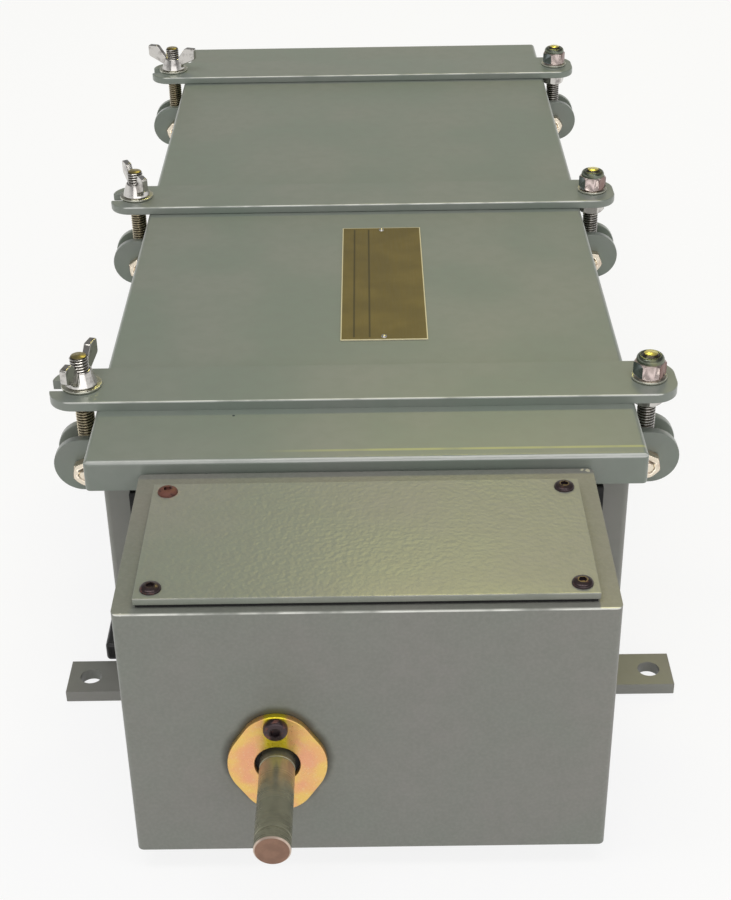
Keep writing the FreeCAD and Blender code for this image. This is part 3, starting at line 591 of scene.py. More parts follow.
LID_ENAMEL = Enamel(
    "lid_enamel", GREY_GREEN, roughness=0.34, coat=0.25, peel_size=0.006, peel_depth=0.00003,
    flaws_and_painted_light=(
        # painted highlight along the front bend (a white line and a grey one), then a painted yellow-green
        # reflection of the warm lamp just behind the bend
        EdgeWearAndHighlight(-304.3, 152.3, 0.8, (0.95, 0.96, 0.93), 0.45, 0.0, (-160.0, 20.0)),
        EdgeWearAndHighlight(-304.3, 152.3, 0.7, (0.50, 0.52, 0.49), 0.5, 0.0),
        EdgeWearAndHighlight(-297.2, 153.0, 0.9, (0.40, 0.42, 0.21), 0.3, 0.0, (-60.0, 10.0)),
        Mark((-64.5, -263.5, 153.0), 1.3, (0.02, 0.035, 0.05)),
    ),
)
BOX_ENAMEL = Enamel("box_enamel", (0.238, 0.240, 0.216), roughness=0.38, coat=0.2)
BAR_ENAMEL = Enamel(
    "bar_enamel", GREY_GREEN, roughness=0.32, coat=0.3, peel_size=0.006, peel_depth=0.00003,
    # painted highlight along each clamp bar's front top edge
    flaws_and_painted_light=tuple(EdgeWearAndHighlight(y, 158.0, 0.6, EDGE_HIGHLIGHT_WHITE, 0.3, 0.0) for y in (-257.4, -17.4, 222.6)),
)
HOUSING_ENAMEL = Enamel(
    "housing_enamel", (0.212, 0.217, 0.192), roughness=0.40, coat=0.15, peel_size=0.0022,
    peel_depth=0.00012, grain=0.22,
    flaws_and_painted_light=(
        # painted shade: a dark contact shade round the shaft retainer plate
        PaintedShade((-40.3, 66.2), 22.0, 16.0, 27.0),
        # the housing's front top edge: rubbed paint, with a painted highlight along it
        EdgeWearAndHighlight(-414.4, 146.4, 0.6, (0.85, 0.86, 0.80), 0.15),
        Mark((104.2, -308.0, 146.5), 2.6),
        Mark((106.6, -306.5, 142.0), 2.0),
        Mark((101.6, -307.0, 146.5), 1.8),
        Mark((-102.5, -414.2, 146.4), 1.5, WHITE_CHIP),
        Scratch((-97.2, -402.0, 146.5), (-92.6, -408.0, 146.5), 0.9),
    ),
)
COVER_ENAMEL = Enamel(
    "cover_enamel", (0.250, 0.264, 0.222), roughness=0.36, coat=0.25, peel_size=0.0024,
    peel_depth=0.00021,
    flaws_and_painted_light=(
        # painted highlight along the cover plate's front top edge
        EdgeWearAndHighlight(-410.5, 151.5, 0.5, (0.42, 0.43, 0.38), 0.2),
        Mark((-90.5, -329.5, 151.5), 9.5, (0.32, 0.29, 0.24)),
    ),
)
ZINC = Plating("bright_zinc", (0.60, 0.58, 0.55), 0.15, (0.26, 0.24, 0.23), 0.8)
# painted shade in the roots of the stud threads
THREAD_ROOT_SHADE = Plating("thread_root_shade", (0.085, 0.075, 0.055), 0.34)
# painted shade for the lock nuts' left and right faces, tinted teal and brown
NUT_SHADE_LEFT = Plating("nut_shade_left", (0.20, 0.23, 0.23), 0.26, (0.30, 0.34, 0.34), 0.5)
NUT_SHADE_RIGHT = Plating("nut_shade_right", (0.24, 0.15, 0.13), 0.26, (0.40, 0.28, 0.25), 0.5)
WASHER_ZINC = Plating("washer_zinc", (0.56, 0.56, 0.48), 0.30)
AGED_ZINC = Plating("aged_zinc", (0.62, 0.54, 0.38), 0.22, stained=0.2)
NUT_ZINC = Plating("nut_zinc", (0.56, 0.47, 0.44), 0.38, (0.47, 0.38, 0.36), 0.5)
COLLAR_ZINC = Plating("collar_zinc", (0.17, 0.19, 0.15), 0.28, (0.28, 0.26, 0.10), 0.4)
PIN_STEEL = Plating("pin_steel", (0.82, 0.73, 0.59), 0.26, (0.60, 0.42, 0.34), 0.6)
STUD_END = Plating("stud_end", (0.88, 0.78, 0.26), 0.30, (0.62, 0.52, 0.08), 0.7)
OLIVE_END = Plating("olive_end", (0.36, 0.30, 0.13), 0.36, (0.20, 0.16, 0.05), 0.7)
BRONZE = Plating("oiled_bronze", (0.52, 0.33, 0.14), 0.35)
YELLOW_ZINC = Chromate("yellow_zinc", (0.86, 0.47, 0.20))
SHAFT_STEEL = TurnedSteel("shaft_steel", (0.36, 0.355, 0.26))
GEAR_STEEL = TurnedSteel("gear_steel", (0.40, 0.40, 0.40), end_place=-9.0)
BLACK_SCREW = BlackOxide("black_screw", (0.060, 0.042, 0.045), 0.12)
RUSTY_SCREW = BlackOxide("rusty_screw", (0.085, 0.040, 0.036), 0.55)
RUBBER = Moulding("black_rubber", (0.012, 0.012, 0.012), 0.75)
BLACK_PLASTIC = Moulding("black_plastic", (0.02, 0.02, 0.02), 0.45)
CAM_PHENOLIC = Moulding("cam_phenolic", (0.30, 0.11, 0.04), 0.4)
BLACK_FITTING = Moulding("black_fitting", (0.018, 0.018, 0.018), 0.42, 0.003)

SLOT_FINISHES: dict[str, Finish] = {
    "grey_paint": BOX_ENAMEL,
    "grey_paint_hardware": BAR_ENAMEL,
    "black_rubber": RUBBER,
    "zinc_steel": ZINC,
    "yellow_zinc": YELLOW_ZINC,
    "dark_steel": SHAFT_STEEL,
    "black_screw": BLACK_SCREW,
    "olive_brass": ZINC,
    "bronze": BRONZE,
    "gear_steel": GEAR_STEEL,
    "cam_plastic": CAM_PHENOLIC,
    "black_plastic": BLACK_PLASTIC,
    "black_fitting": BLACK_FITTING,
}


class Bench:
    """The modelling steps that the pieces are made with, in millimetres apart from SAME, in metres."""

    SAME = 1e-6
    FLAT_DEGREES = 1.0
    SHARP_DEGREES = 35
    CROWN_SHARE = 0.96
    CROWN_SPARE = 0.4
    PITCH = 1.5875
    RINGS_PER_TURN = 12
    THREAD_SIDES = 32
    THREAD_DEPTH = 0.60
    CREST = 0.12

    @staticmethod
    def pick(piece: Piece) -> None:
        """Selects one piece alone and makes it active."""
        bpy.ops.object.select_all(action="DESELECT")
        piece.select_set(True)
        bpy.context.view_layer.objects.active = piece

    @classmethod
    @contextmanager
    def editing(
        cls, piece: Piece, wanted: Optional[Callable[[Vector, Vector], bool]] = None
    ) -> Iterator[None]:
        """Keeps a piece in edit mode.

        Args:
            piece: The piece, all of it selected.
            wanted: A test of an edge's two ends; only the edges that pass it are selected.

        Yields:
            Nothing.
        """
        cls.pick(piece)
        bpy.ops.object.mode_set(mode="EDIT")
        bpy.ops.mesh.select_all(action="SELECT")
        if wanted:
            bpy.ops.mesh.select_mode(type="EDGE")
            bpy.ops.mesh.select_all(action="DESELECT")
            bpy.ops.object.mode_set(mode="OBJECT")
            for edge in piece.data.edges:
                edge.select = wanted(*(piece.data.vertices[end].co for end in edge.vertices))
            bpy.ops.object.mode_set(mode="EDIT")
        yield
        bpy.ops.object.mode_set(mode="OBJECT")

    @classmethod
    def named(cls, name: str) -> Piece:
        """Names the form that was just added and applies its place, so that it sits in the mesh."""
        piece = bpy.context.object
        piece.name = name
        cls.pick(piece)
        bpy.ops.object.transform_apply(location=True, rotation=True, scale=True)
        return piece

    @classmethod
    def turned(cls, name: str, stations: Sequence[Pair], sides: int = 48, ring: bool = False) -> Piece:
        """Turns a piece about Z by extruding a circle from station to station.

        Args:
            name: The piece's name.
            stations: Heights and radii.
            sides: The sides of the circle.
            ring: Whether the last station joins the first, round a bore.

        Returns:
            The piece, at the origin.
        """
        height, radius = stations[0]
        fill = "NOTHING" if ring else "NGON"
        bpy.ops.mesh.primitive_circle_add(
            vertices=sides, radius=radius * MM, fill_type=fill, location=(0, 0, height * MM)
        )
        piece = cls.named(name)
        with cls.editing(piece):
            for next_height, next_radius in stations[1:]:
                step = (0, 0, (next_height - height) * MM)
                bpy.ops.mesh.extrude_region_move(TRANSFORM_OT_translate={"value": step})
                factor = next_radius / radius
                bpy.ops.transform.resize(value=(factor, factor, 1), center_override=(0, 0, next_height * MM))
                height, radius = next_height, next_radius
            if ring:
                bpy.ops.mesh.select_all(action="DESELECT")
                bpy.ops.mesh.select_mode(type="EDGE")
                bpy.ops.mesh.select_non_manifold(
                    extend=False, use_wire=False, use_boundary=True, use_multi_face=False,
                    use_non_contiguous=False, use_verts=False,
                )
                bpy.ops.mesh.bridge_edge_loops()
        with cls.editing(piece):
            bpy.ops.mesh.remove_doubles(threshold=cls.SAME)
            bpy.ops.mesh.normals_make_consistent(inside=False)
        return piece

    @classmethod
    def apply(cls, piece: Piece, kind: str, **settings: object) -> Piece:
        """Adds a modifier with its settings and applies it."""
        cls.pick(piece)
        modifier = piece.modifiers.new(kind.lower(), kind)
        for name, value in settings.items():
            setattr(modifier, name, value)
        bpy.ops.object.modifier_apply(modifier=modifier.name)
        return piece

    @classmethod
    def combine(cls, piece: Piece, tool: Piece, operation: str) -> Piece:
        """Cuts, joins or intersects a piece with a tool, which is used up."""
        cls.apply(piece, "BOOLEAN", operation=operation, solver="EXACT", object=tool)
        bpy.data.objects.remove(tool)
        return piece

    @classmethod
    def joined(cls, first: Piece, *others: Piece) -> Piece:
        """Joins pieces into the first without merging them."""
        cls.pick(first)
        for other in others:
            other.select_set(True)
        bpy.ops.object.join()
        return first

    @classmethod
    def smooth(cls, piece: Piece, degrees: float) -> Piece:
        """Shades a piece smooth wherever its faces meet at less than an angle."""
        cls.pick(piece)
        bpy.ops.object.shade_smooth_by_angle(angle=math.radians(degrees))
        return piece

    @classmethod
    def level(cls, piece: Piece, degrees: float) -> Piece:
        """Shades a piece smooth by angle, with its large faces kept flat."""
        cls.smooth(piece, degrees)
        return cls.apply(piece, "WEIGHTED_NORMAL", mode="FACE_AREA", weight=60, keep_sharp=True)

    @classmethod
    def ease(cls, piece: Piece, width: float, segments: int = 2) -> Piece:
        """Rounds every sharp edge by a width and shades the piece."""
        cls.apply(
            piece, "BEVEL", width=width * MM, segments=segments, limit_method="ANGLE",
            angle_limit=math.radians(cls.SHARP_DEGREES), use_clamp_overlap=True, miter_outer="MITER_ARC",
        )
        return cls.level(piece, 48.0)

    @classmethod
    def cuboid(cls, name: str, low: Sequence[float], high: Sequence[float]) -> Piece:
        """Makes a box between two corners."""
        centre = [(a + b) / 2 * MM for a, b in zip(low, high)]
        bpy.ops.mesh.primitive_cube_add(size=1, location=centre)
        bpy.context.object.scale = [(b - a) * MM for a, b in zip(low, high)]
        return cls.named(name)

    @classmethod
    def column(cls, name: str, sides: int, radius: float, low: float, high: float) -> Piece:
        """Makes an upright prism between two heights, its corners on a radius."""
        bpy.ops.mesh.primitive_cylinder_add(
            vertices=sides, radius=radius * MM, depth=(high - low) * MM,
            location=(0, 0, (low + high) / 2 * MM),
        )
        return cls.named(name)

    @classmethod
    def hexagonal(cls, name: str, flats: float, low: float, high: float, crown: float) -> Piece:
        """Makes a hexagon about Z with its corners turned down.

        Args:
            name: The piece's name.
            flats: The size across the flats.
            low: Its lower end.
            high: Its upper end.
            crown: How far down the corners are turned at each end.

        Returns:
            The piece.
        """
        corner = flats / math.sqrt(3)
        piece = cls.column(name, 6, corner, low, high)
        inner = flats / 2 * cls.CROWN_SHARE
        outer = corner + cls.CROWN_SPARE
        drop = crown * (outer - inner) / (corner - inner)
        stations = [(low, inner), (low + drop, outer), (high - drop, outer), (high, inner)]
        return cls.combine(piece, cls.turned(name + "_blank", stations, sides=60), "INTERSECT")

    @classmethod
    def threaded(cls, name: str, radius: float, low: float, high: float, chamfer: float) -> Piece:
        """Makes a threaded rod about Z with a chamfered upper end.

        Args:
            name: The piece's name.
            radius: The outer radius.
            low: Its lower end.
            high: Its upper end.
            chamfer: How far the upper end is chamfered.

        Returns:
            The rod.
        """
        piece = cls.column(name, cls.THREAD_SIDES, radius, low, high)
        rings = math.ceil(math.sqrt((high - low) / cls.PITCH * cls.RINGS_PER_TURN))
        for _ in range(2):
            with cls.editing(piece, lambda a, b: abs(a.z - b.z) > cls.SAME):
                bpy.ops.mesh.subdivide(number_cuts=rings - 1)
        for vertex in piece.data.vertices:
            reach = math.hypot(vertex.co.x, vertex.co.y)
            if reach < radius * MM / 2:
                continue
            turn = vertex.co.z / (cls.PITCH * MM) - math.atan2(vertex.co.y, vertex.co.x) / FULL_TURN
            groove = 1 - abs(2 * (turn % 1.0) - 1)
            wanted = radius * MM - cls.THREAD_DEPTH * cls.PITCH * MM * max(0.0, groove - cls.CREST)
            wanted = min(wanted, (radius - chamfer + high) * MM - vertex.co.z)
            vertex.co.x *= wanted / reach
            vertex.co.y *= wanted / reach
        return cls.smooth(piece, 50.0)

    @staticmethod
    def placed(piece: Piece, matrix: Matrix) -> Piece:
        """Moves a piece's mesh by a matrix."""
        piece.data.transform(matrix)
        piece.data.update()
        return piece

    @classmethod
    def copied(cls, piece: Piece, name: str, matrix: Matrix) -> Piece:
        """Copies a piece with a mesh of its own and moves the copy."""
        twin = bpy.data.objects.new(name, piece.data.copy())
        bpy.context.scene.collection.objects.link(twin)
        return cls.placed(twin, matrix)

    @classmethod
    def from_node(cls, name: str, node: str, width: float) -> Piece:
        """Copies a node's form into a piece of its own with edges eased by a width."""
        piece = cls.copied(frame["nodes"][node], name, Matrix())
        piece.data.materials.clear()
        with cls.editing(piece):
            bpy.ops.mesh.customdata_custom_splitnormals_clear()
            bpy.ops.mesh.remove_doubles(threshold=2 * cls.SAME)
            bpy.ops.mesh.dissolve_limited(angle_limit=math.radians(cls.FLAT_DEGREES))
        return cls.ease(piece, width)


def shift(x: float, y: float, z: float) -> Matrix:
    """Returns a move, given in millimetres."""
    return Matrix.Translation((x * MM, y * MM, z * MM))


def facing(axis: str) -> Matrix:
    """Returns the turn that lays the Z axis along -Y or +Y."""
    return Matrix.Rotation(math.radians({"-Y": 90, "+Y": -90}[axis]), 4, "X")


def turn_z(degrees: float) -> Matrix:
    """Returns a turn about Z."""
    return Matrix.Rotation(math.radians(degrees), 4, "Z")


def box_mm(node: str) -> tuple[Vector, Vector]:
    """Returns the two corners of a node's box, in millimetres."""
    low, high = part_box(node)
    return low / MM, high / MM


def middle(node: str) -> Vector:
    """Returns the centre of a node's box, in millimetres."""
    low, high = box_mm(node)
    return (low + high) / 2


def within(low: float, high: float, inset: float) -> Pair:
    """Returns the two places that lie an inset inside the ends of a span."""
    return low + inset, high - inset


def slot_of(node: str) -> str:
    """Returns the material slot of a node."""
    return next(s["material_slot"] for s in frame["record"]["subparts"] if s["node"] == node)


def body_of(node: str) -> str:
    """Returns the body that a node belongs to."""
    bodies = frame["record"]["behaviour"]["bodies"]
    return next(body for body, members in bodies.items() if node in members)


def finished(piece: Piece, node: str, finish: Finish) -> None:
    """Dresses a piece that stands for a node, on every face that has no finish of its own.

    Args:
        piece: The piece.
        node: The node that it stands for, whose body it takes and whose slot it looks up.
        finish: Its finish.
    """
    if not piece.data.materials:
        piece.data.materials.append(finish.material())
    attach(piece, body_of(node))
    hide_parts(node)
    slot_of(node)
    log.info("made %s for %s", piece.name, node)


def finished_set(pieces: Sequence[Piece], node: str, finish: Finish) -> None:
    """Joins the pieces that stand for one node and dresses them."""
    piece = Bench.joined(*pieces)
    piece.name = node + "_set"
    finished(piece, node, finish)


def eased(node: str, word: str, width: float, finish: Finish) -> None:
    """Makes a node's own form with eased edges, names it with a word and dresses it."""
    finished(Bench.from_node(f"{node}_{word}", node, width), node, finish)


def repaint(piece: Piece, finishes: Sequence[Finish], which: Callable[[Vector, Vector], int]) -> None:
    """Gives each face one of several finishes by its centre and normal."""
    piece.data.materials.clear()
    for finish in finishes:
        piece.data.materials.append(finish.material())
    for face in piece.data.polygons:
        face.material_index = which(face.center, face.normal)


class Row(Enum):
    """The three rows of clamps, with the turns that their wing nut and lock nut were left at."""

    FRONT = ("front", 74.0, -4.0)
    MIDDLE = ("middle", 116.0, -9.0)
    REAR = ("rear", -19.0, 10.0)

    def __init__(self, word: str, turn: float, nut_turn: float) -> None:
        """Keeps the row's word and the two turns in degrees."""
        self.word = word
        self.turn = turn
        self.nut_turn = nut_turn


@dataclass(frozen=True)
class Enclosure:
    """The main enclosure, its lid, feet, ears and bars, with how far their edges are eased."""

    plain: tuple[tuple[str, Finish, float], ...] = (
        ("main_enclosure", BOX_ENAMEL, 0.5),
        ("mounting_lugs", BOX_ENAMEL, 0.8),
        ("bolt_ears", BAR_ENAMEL, 0.7),
        ("lid", LID_ENAMEL, 0.4),
        *(("clamp_bar_" + row.word, BAR_ENAMEL, 0.8) for row in Row),
    )

    def build(self) -> None:
        """Eases and paints the sheet and flat-bar pieces."""
        for node, finish, width in self.plain:
            eased(node, "painted", width, finish)


@dataclass(frozen=True)
class Fitting:
    """The black moulded fitting low on the left side, in millimetres."""

    stick_out: float = 15.0
    soft: float = 2.2

    def build(self) -> None:
        """Makes its long head, which stands on the wall."""
        low, high = box_mm("conduit_plug")
        wall = box_mm("main_enclosure")[0].x
        outer, inner = (wall - self.stick_out, low.y, low.z), (wall, high.y, high.z)
        head = Bench.cuboid("conduit_plug_head", outer, inner)
        finished(Bench.ease(head, self.soft, 4), "conduit_plug", BLACK_FITTING)


@dataclass(frozen=True)
class ClampHardware:
    """The swing bolts, wing nuts, washers, lock nuts and pivots, in millimetres."""

    stud_d: float = 9.525
    stud_proud: float = 0.9
    stud_root: float = 1.5
    end_face: float = 0.05
    groove_depth: float = 0.42
    left_chamfer: float = 0.9
    right_chamfer: float = 1.4
    eye_d: float = 18.0
    eye_thickness: float = 10.5
    eye_soft: float = 1.2
    pivot_d: float = 6.35
    pivot_flats: float = 12.6
    pivot_head: float = 4.2
    pivot_nut: float = 5.6
    flats: float = 14.3
    lock_nut_height: float = 8.4
    collar_d: float = 14.0
    collar_height: float = 3.0
    dome_height: float = 2.4
    dome_reach: float = 1.9
    dome_steps: int = 6
    washer_thickness: float = 1.6
    washer_hole_d: float = 10.3
    washer_soft: float = 0.35
    hub_d: float = 16.5
    hub_top_d: float = 11.5
    hub_height: float = 8.0
    wing_span: float = 37.0
    wing_height: float = 16.5
    wing_thickness: float = 3.8
    wing_root: float = 2.0
    wing_overlap: float = 1.0
    wing_tip: Pair = (7.5, 8.0)
    wing_round: float = 1.2
    wing_soft: float = 0.55
    gap: float = 0.05

    def eye_bolt(self, name: str, node: str, top: float, chamfer: float) -> Piece:
        """Makes an eye with its threaded stud, at a node's height.

        Args:
            name: The piece's name.
            node: The node whose eye it follows.
            top: The stud's upper end.
            chamfer: The stud's chamfer.

        Returns:
            The bolt, with its axis on the Z axis.
        """
        half, radius, bore = self.eye_thickness / 2, self.eye_d / 2, self.pivot_d / 2 + self.gap
        pin = box_mm(node)[0].z + radius
        rod = Bench.threaded(name, self.stud_d / 2, pin + radius - self.stud_root, top, chamfer)
        soft = self.eye_soft
        stations = [
            (-half, bore), (-half, radius - soft), (-half + soft, radius),
            (half - soft, radius), (half, radius - soft), (half, bore),
        ]
        eye = Bench.smooth(Bench.turned(name + "_eye", stations, ring=True), 35)
        return Bench.joined(rod, Bench.placed(eye, shift(0, 0, pin) @ facing("-Y")))

    def paint_stud(self, piece: Piece, top: float, finishes: Sequence[Finish], split: float) -> None:
        """Gives a stud about the Z axis its finishes.

        Args:
            piece: The bolt, with its axis still on the Z axis.
            top: Its upper end.
            finishes: The finish below the split, the one above it, the end's and the painted shade in the
                grooves.
            split: The height of the split.
        """
        eye_top = min(v.co.z for v in piece.data.vertices) + self.eye_d * MM
        end, change = (top - self.end_face) * MM, split * MM
        core = (self.stud_d / 2 - self.groove_depth) * MM

        def which(at: Vector, _: Vector) -> int:
            """Returns the number of a face's finish."""
            if at.z > end:
                return 2
            # faces deep in the thread's grooves get painted shade
            return 3 if at.z > eye_top and math.hypot(at.x, at.y) < core else int(at.z > change)

        repaint(piece, finishes, which)

    def washer(self, name: str, outer_d: float) -> Piece:
        """Makes a flat washer whose edges are rolled over."""
        outer, bore, soft, top = outer_d / 2, self.washer_hole_d / 2, self.washer_soft, self.washer_thickness
        stations = [
            (0, bore), (0, outer - soft), (soft, outer), (top - soft, outer),
            (top, outer - soft), (top, bore + soft), (top - soft, bore),
        ]
        return Bench.level(Bench.turned(name, stations, sides=64, ring=True), 50)

    def wing(self, name: str) -> Piece:
        """Makes one wing: a slab cut to its two slants, with three rounded corners."""
        half = self.wing_thickness / 2
        inner, outer = self.hub_top_d / 2 - self.wing_overlap, self.wing_span / 2
        low, high = self.wing_root, self.wing_height
        waist, foot = outer - self.wing_tip[0], high - self.wing_tip[1]
        slab = Bench.cuboid(name, (inner, -half, low), (outer, half, high))
        lower = ((inner, 0, low), (foot - low, 0, inner - outer))
        upper = ((waist, 0, high), (self.hub_height - high, 0, waist - inner))
        for point, normal in (lower, upper):
            place, way = [v * MM for v in point], Vector(normal).normalized()
            with Bench.editing(slab):
                bpy.ops.mesh.bisect(plane_co=place, plane_no=way, use_fill=True, clear_outer=True)
        limit = (inner + waist) / 2 * MM
        with Bench.editing(slab, lambda a, b: abs(a.y - b.y) > half * MM and a.x > limit):
            bpy.ops.mesh.bevel(offset=self.wing_round * MM, segments=6, affect="EDGES")
        return Bench.ease(slab, self.wing_soft, 3)

    def wing_nut(self, name: str) -> Piece:
        """Makes a cast wing nut: a tapered hub with a bore and two wings."""
        base, top, height = self.hub_d / 2, self.hub_top_d / 2, self.hub_height
        bore = self.stud_d / 2 + self.gap
        stations = [
            (0, bore), (0, base - 0.5), (0.5, base), (1.2, base - 0.2), (height - 0.6, top + 0.2),
            (height - 0.1, top - 0.3), (height, top - 0.6), (height, bore + 0.3), (height - 0.4, bore),
        ]
        nut = Bench.turned(name, stations, sides=64, ring=True)
        for degrees in (0, 180):
            Bench.combine(nut, Bench.placed(self.wing(name + "_wing"), turn_z(degrees)), "UNION")
        return Bench.level(nut, 40)

    def hexagon_nut(self, name: str, flats: float, height: float, bore_d: float) -> Piece:
        """Makes a chamfered hexagon nut with its bore."""
        nut = Bench.hexagonal(name, flats, 0, height, height * 0.14)
        bore = bore_d / 2 + self.gap
        stations = [(-1, bore), (height - 0.5, bore), (height + 1, bore + 1.5)]
        Bench.combine(nut, Bench.turned(name + "_hole", stations), "DIFFERENCE")
        return Bench.ease(nut, 0.22)

    def lock_nut(self, name: str) -> Piece:
        """Makes a hexagon nut with the domed collar that holds its locking ring."""
        height, radius, bore = self.lock_nut_height, self.collar_d / 2, self.stud_d / 2 + self.gap
        nut = self.hexagon_nut(name, self.flats, height, self.stud_d)
        top = height + self.collar_height
        stations = [(height - 1.0, radius - 0.1), (height + 0.4, radius)]
        for step in range(1, self.dome_steps + 1):
            share = step / self.dome_steps
            rise, reach = math.sin(share * math.pi / 2), math.cos(share * math.pi / 2)
            out = radius - self.dome_reach + self.dome_reach * reach - 0.1 * share
            stations.append((top - self.dome_height + self.dome_height * rise, out))
        stations += [(top - 0.4, bore - 0.4), (top - 1.4, bore), (height - 1.0, bore)]
        collar = Bench.smooth(Bench.turned(name + "_collar", stations, ring=True), 50)
        collar.data.materials.append(COLLAR_ZINC.material())
        # the left and right faces get painted shade by the way they face
        repaint(nut, (NUT_ZINC, NUT_SHADE_LEFT, NUT_SHADE_RIGHT), self.side)
        return Bench.joined(nut, collar)

    @staticmethod
    def side(_: Vector, way: Vector) -> int:
        """Returns 0 for a nut's front, 1 for its left and 2 for its right faces, before its turn by 30; 1 and
        2 are painted shade.
        """
        across = (turn_z(30) @ way).x
        if abs(way.z) > 0.5 or abs(across) < 0.45:
            return 0
        return 1 if across < 0 else 2

    def pivot_bolt(self, name: str, reach: float) -> Piece:
        """Makes a pivot bolt about Z: its head below 0 and its domed end at the reach."""
        head = Bench.hexagonal(name, self.pivot_flats, -self.pivot_head, 0, 0.7)
        radius = self.pivot_d / 2
        stations = [
            (-0.5, radius), (reach - 1.1, radius), (reach - 0.5, radius - 0.35),
            (reach - 0.15, radius - 1.1), (reach, radius - 2.2),
        ]
        shank = Bench.turned(name + "_shank", stations, sides=32)
        return Bench.joined(Bench.level(head, 32), Bench.smooth(shank, 40))

    def build_left(self) -> None:
        """Makes the three sets of swing bolt, washer and wing nut."""
        low, high = box_mm("clamp_washer_front")
        washer = self.washer("washer_pattern", high.x - low.x)
        nut = self.wing_nut("wing_nut_pattern")
        for row in Row:
            node = "swing_bolt_" + row.word
            place, top = middle(node), box_mm(node)[1].z
            bar_top = box_mm("clamp_bar_" + row.word)[1].z
            bolt = self.eye_bolt(node + "_threaded", node, top, self.left_chamfer)
            self.paint_stud(bolt, top, (AGED_ZINC, ZINC, OLIVE_END, THREAD_ROOT_SHADE), bar_top)
            finished(Bench.placed(bolt, shift(place.x, place.y, 0)), node, AGED_ZINC)
            for kind, pattern, word, degrees, finish in (
                ("clamp_washer_", washer, "_rolled", 0.0, WASHER_ZINC),
                ("wing_nut_", nut, "_cast", row.turn, ZINC),
            ):
                node = kind + row.word
                matrix = shift(place.x, place.y, box_mm(node)[0].z) @ turn_z(degrees)
                finished(Bench.copied(pattern, node + word, matrix), node, finish)
        for pattern in (washer, nut):
            bpy.data.objects.remove(pattern)

    def build_right(self) -> None:
        """Makes the hinge bolts with their lock nuts, washers and jam nuts."""
        low, high = box_mm("hinge_washers")
        x, outer_d = (low.x + high.x) / 2, high.x - low.x
        seats = {node: box_mm(node)[0].z for node in ("hinge_lock_nuts", "hinge_washers", "hinge_jam_nuts")}
        jam_height = box_mm("hinge_jam_nuts")[1].z - seats["hinge_jam_nuts"]
        groups: dict[str, list] = {node: [] for node in ("hinge_bolts", *seats)}
        top = box_mm("hinge_lock_nuts")[1].z + self.stud_proud
        for index, row in enumerate(Row):
            y = middle("clamp_bar_" + row.word).y
            bolt = self.eye_bolt("hinge_bolt", "hinge_bolts", top, self.right_chamfer)
            split = top - self.right_chamfer + self.end_face
            self.paint_stud(bolt, top, (ZINC, COLLAR_ZINC, STUD_END, THREAD_ROOT_SHADE), split)
            groups["hinge_bolts"].append(Bench.placed(bolt, shift(x, y, 0)))
            jam_nut = "hinge_jam_nut", self.flats, jam_height, self.stud_d
            for node, piece, degrees in (
                ("hinge_lock_nuts", self.lock_nut("hinge_lock_nut"), 30 + row.nut_turn),
                ("hinge_washers", self.washer("hinge_washer", outer_d), 0),
                ("hinge_jam_nuts", self.hexagon_nut(*jam_nut), 21 * index),
            ):
                groups[node].append(Bench.placed(piece, shift(x, y, seats[node]) @ turn_z(degrees)))
        for (node, group), finish in zip(groups.items(), (ZINC, NUT_ZINC, WASHER_ZINC, ZINC)):
            finished_set(group, node, finish)

    def build_pivots(self) -> None:
        """Makes the pivot bolts, put in from the rear, and their nuts in front."""
        low, high = box_mm("pivot_bolts")
        pin_z = (low.z + high.z) / 2
        x = abs(middle("swing_bolt_front").x)
        first, last = middle("clamp_bar_front").y, middle("clamp_bar_rear").y
        ear_reach = high.y - last - self.pivot_head
        end_reach = first - low.y
        bolts, nuts = [], []
        for side in (-1, 1):
            for index, row in enumerate(Row):
                y = middle("clamp_bar_" + row.word).y
                turn = facing("-Y") @ turn_z(13 * index + 9 * side)
                bolt = self.pivot_bolt("pivot_bolt", ear_reach + end_reach)
                bolts.append(Bench.placed(bolt, shift(side * x, y + ear_reach, pin_z) @ turn))
                nut = self.hexagon_nut("pivot_nut", self.pivot_flats, self.pivot_nut, self.pivot_d)
                nuts.append(Bench.placed(nut, shift(side * x, y - ear_reach, pin_z) @ turn))
        finished_set(bolts, "pivot_bolts", PIN_STEEL)
        finished_set(nuts, "pivot_nuts", PIN_STEEL)

    def build(self) -> None:
        """Makes all the clamp hardware."""
        self.build_left()
        self.build_right()
        self.build_pivots()


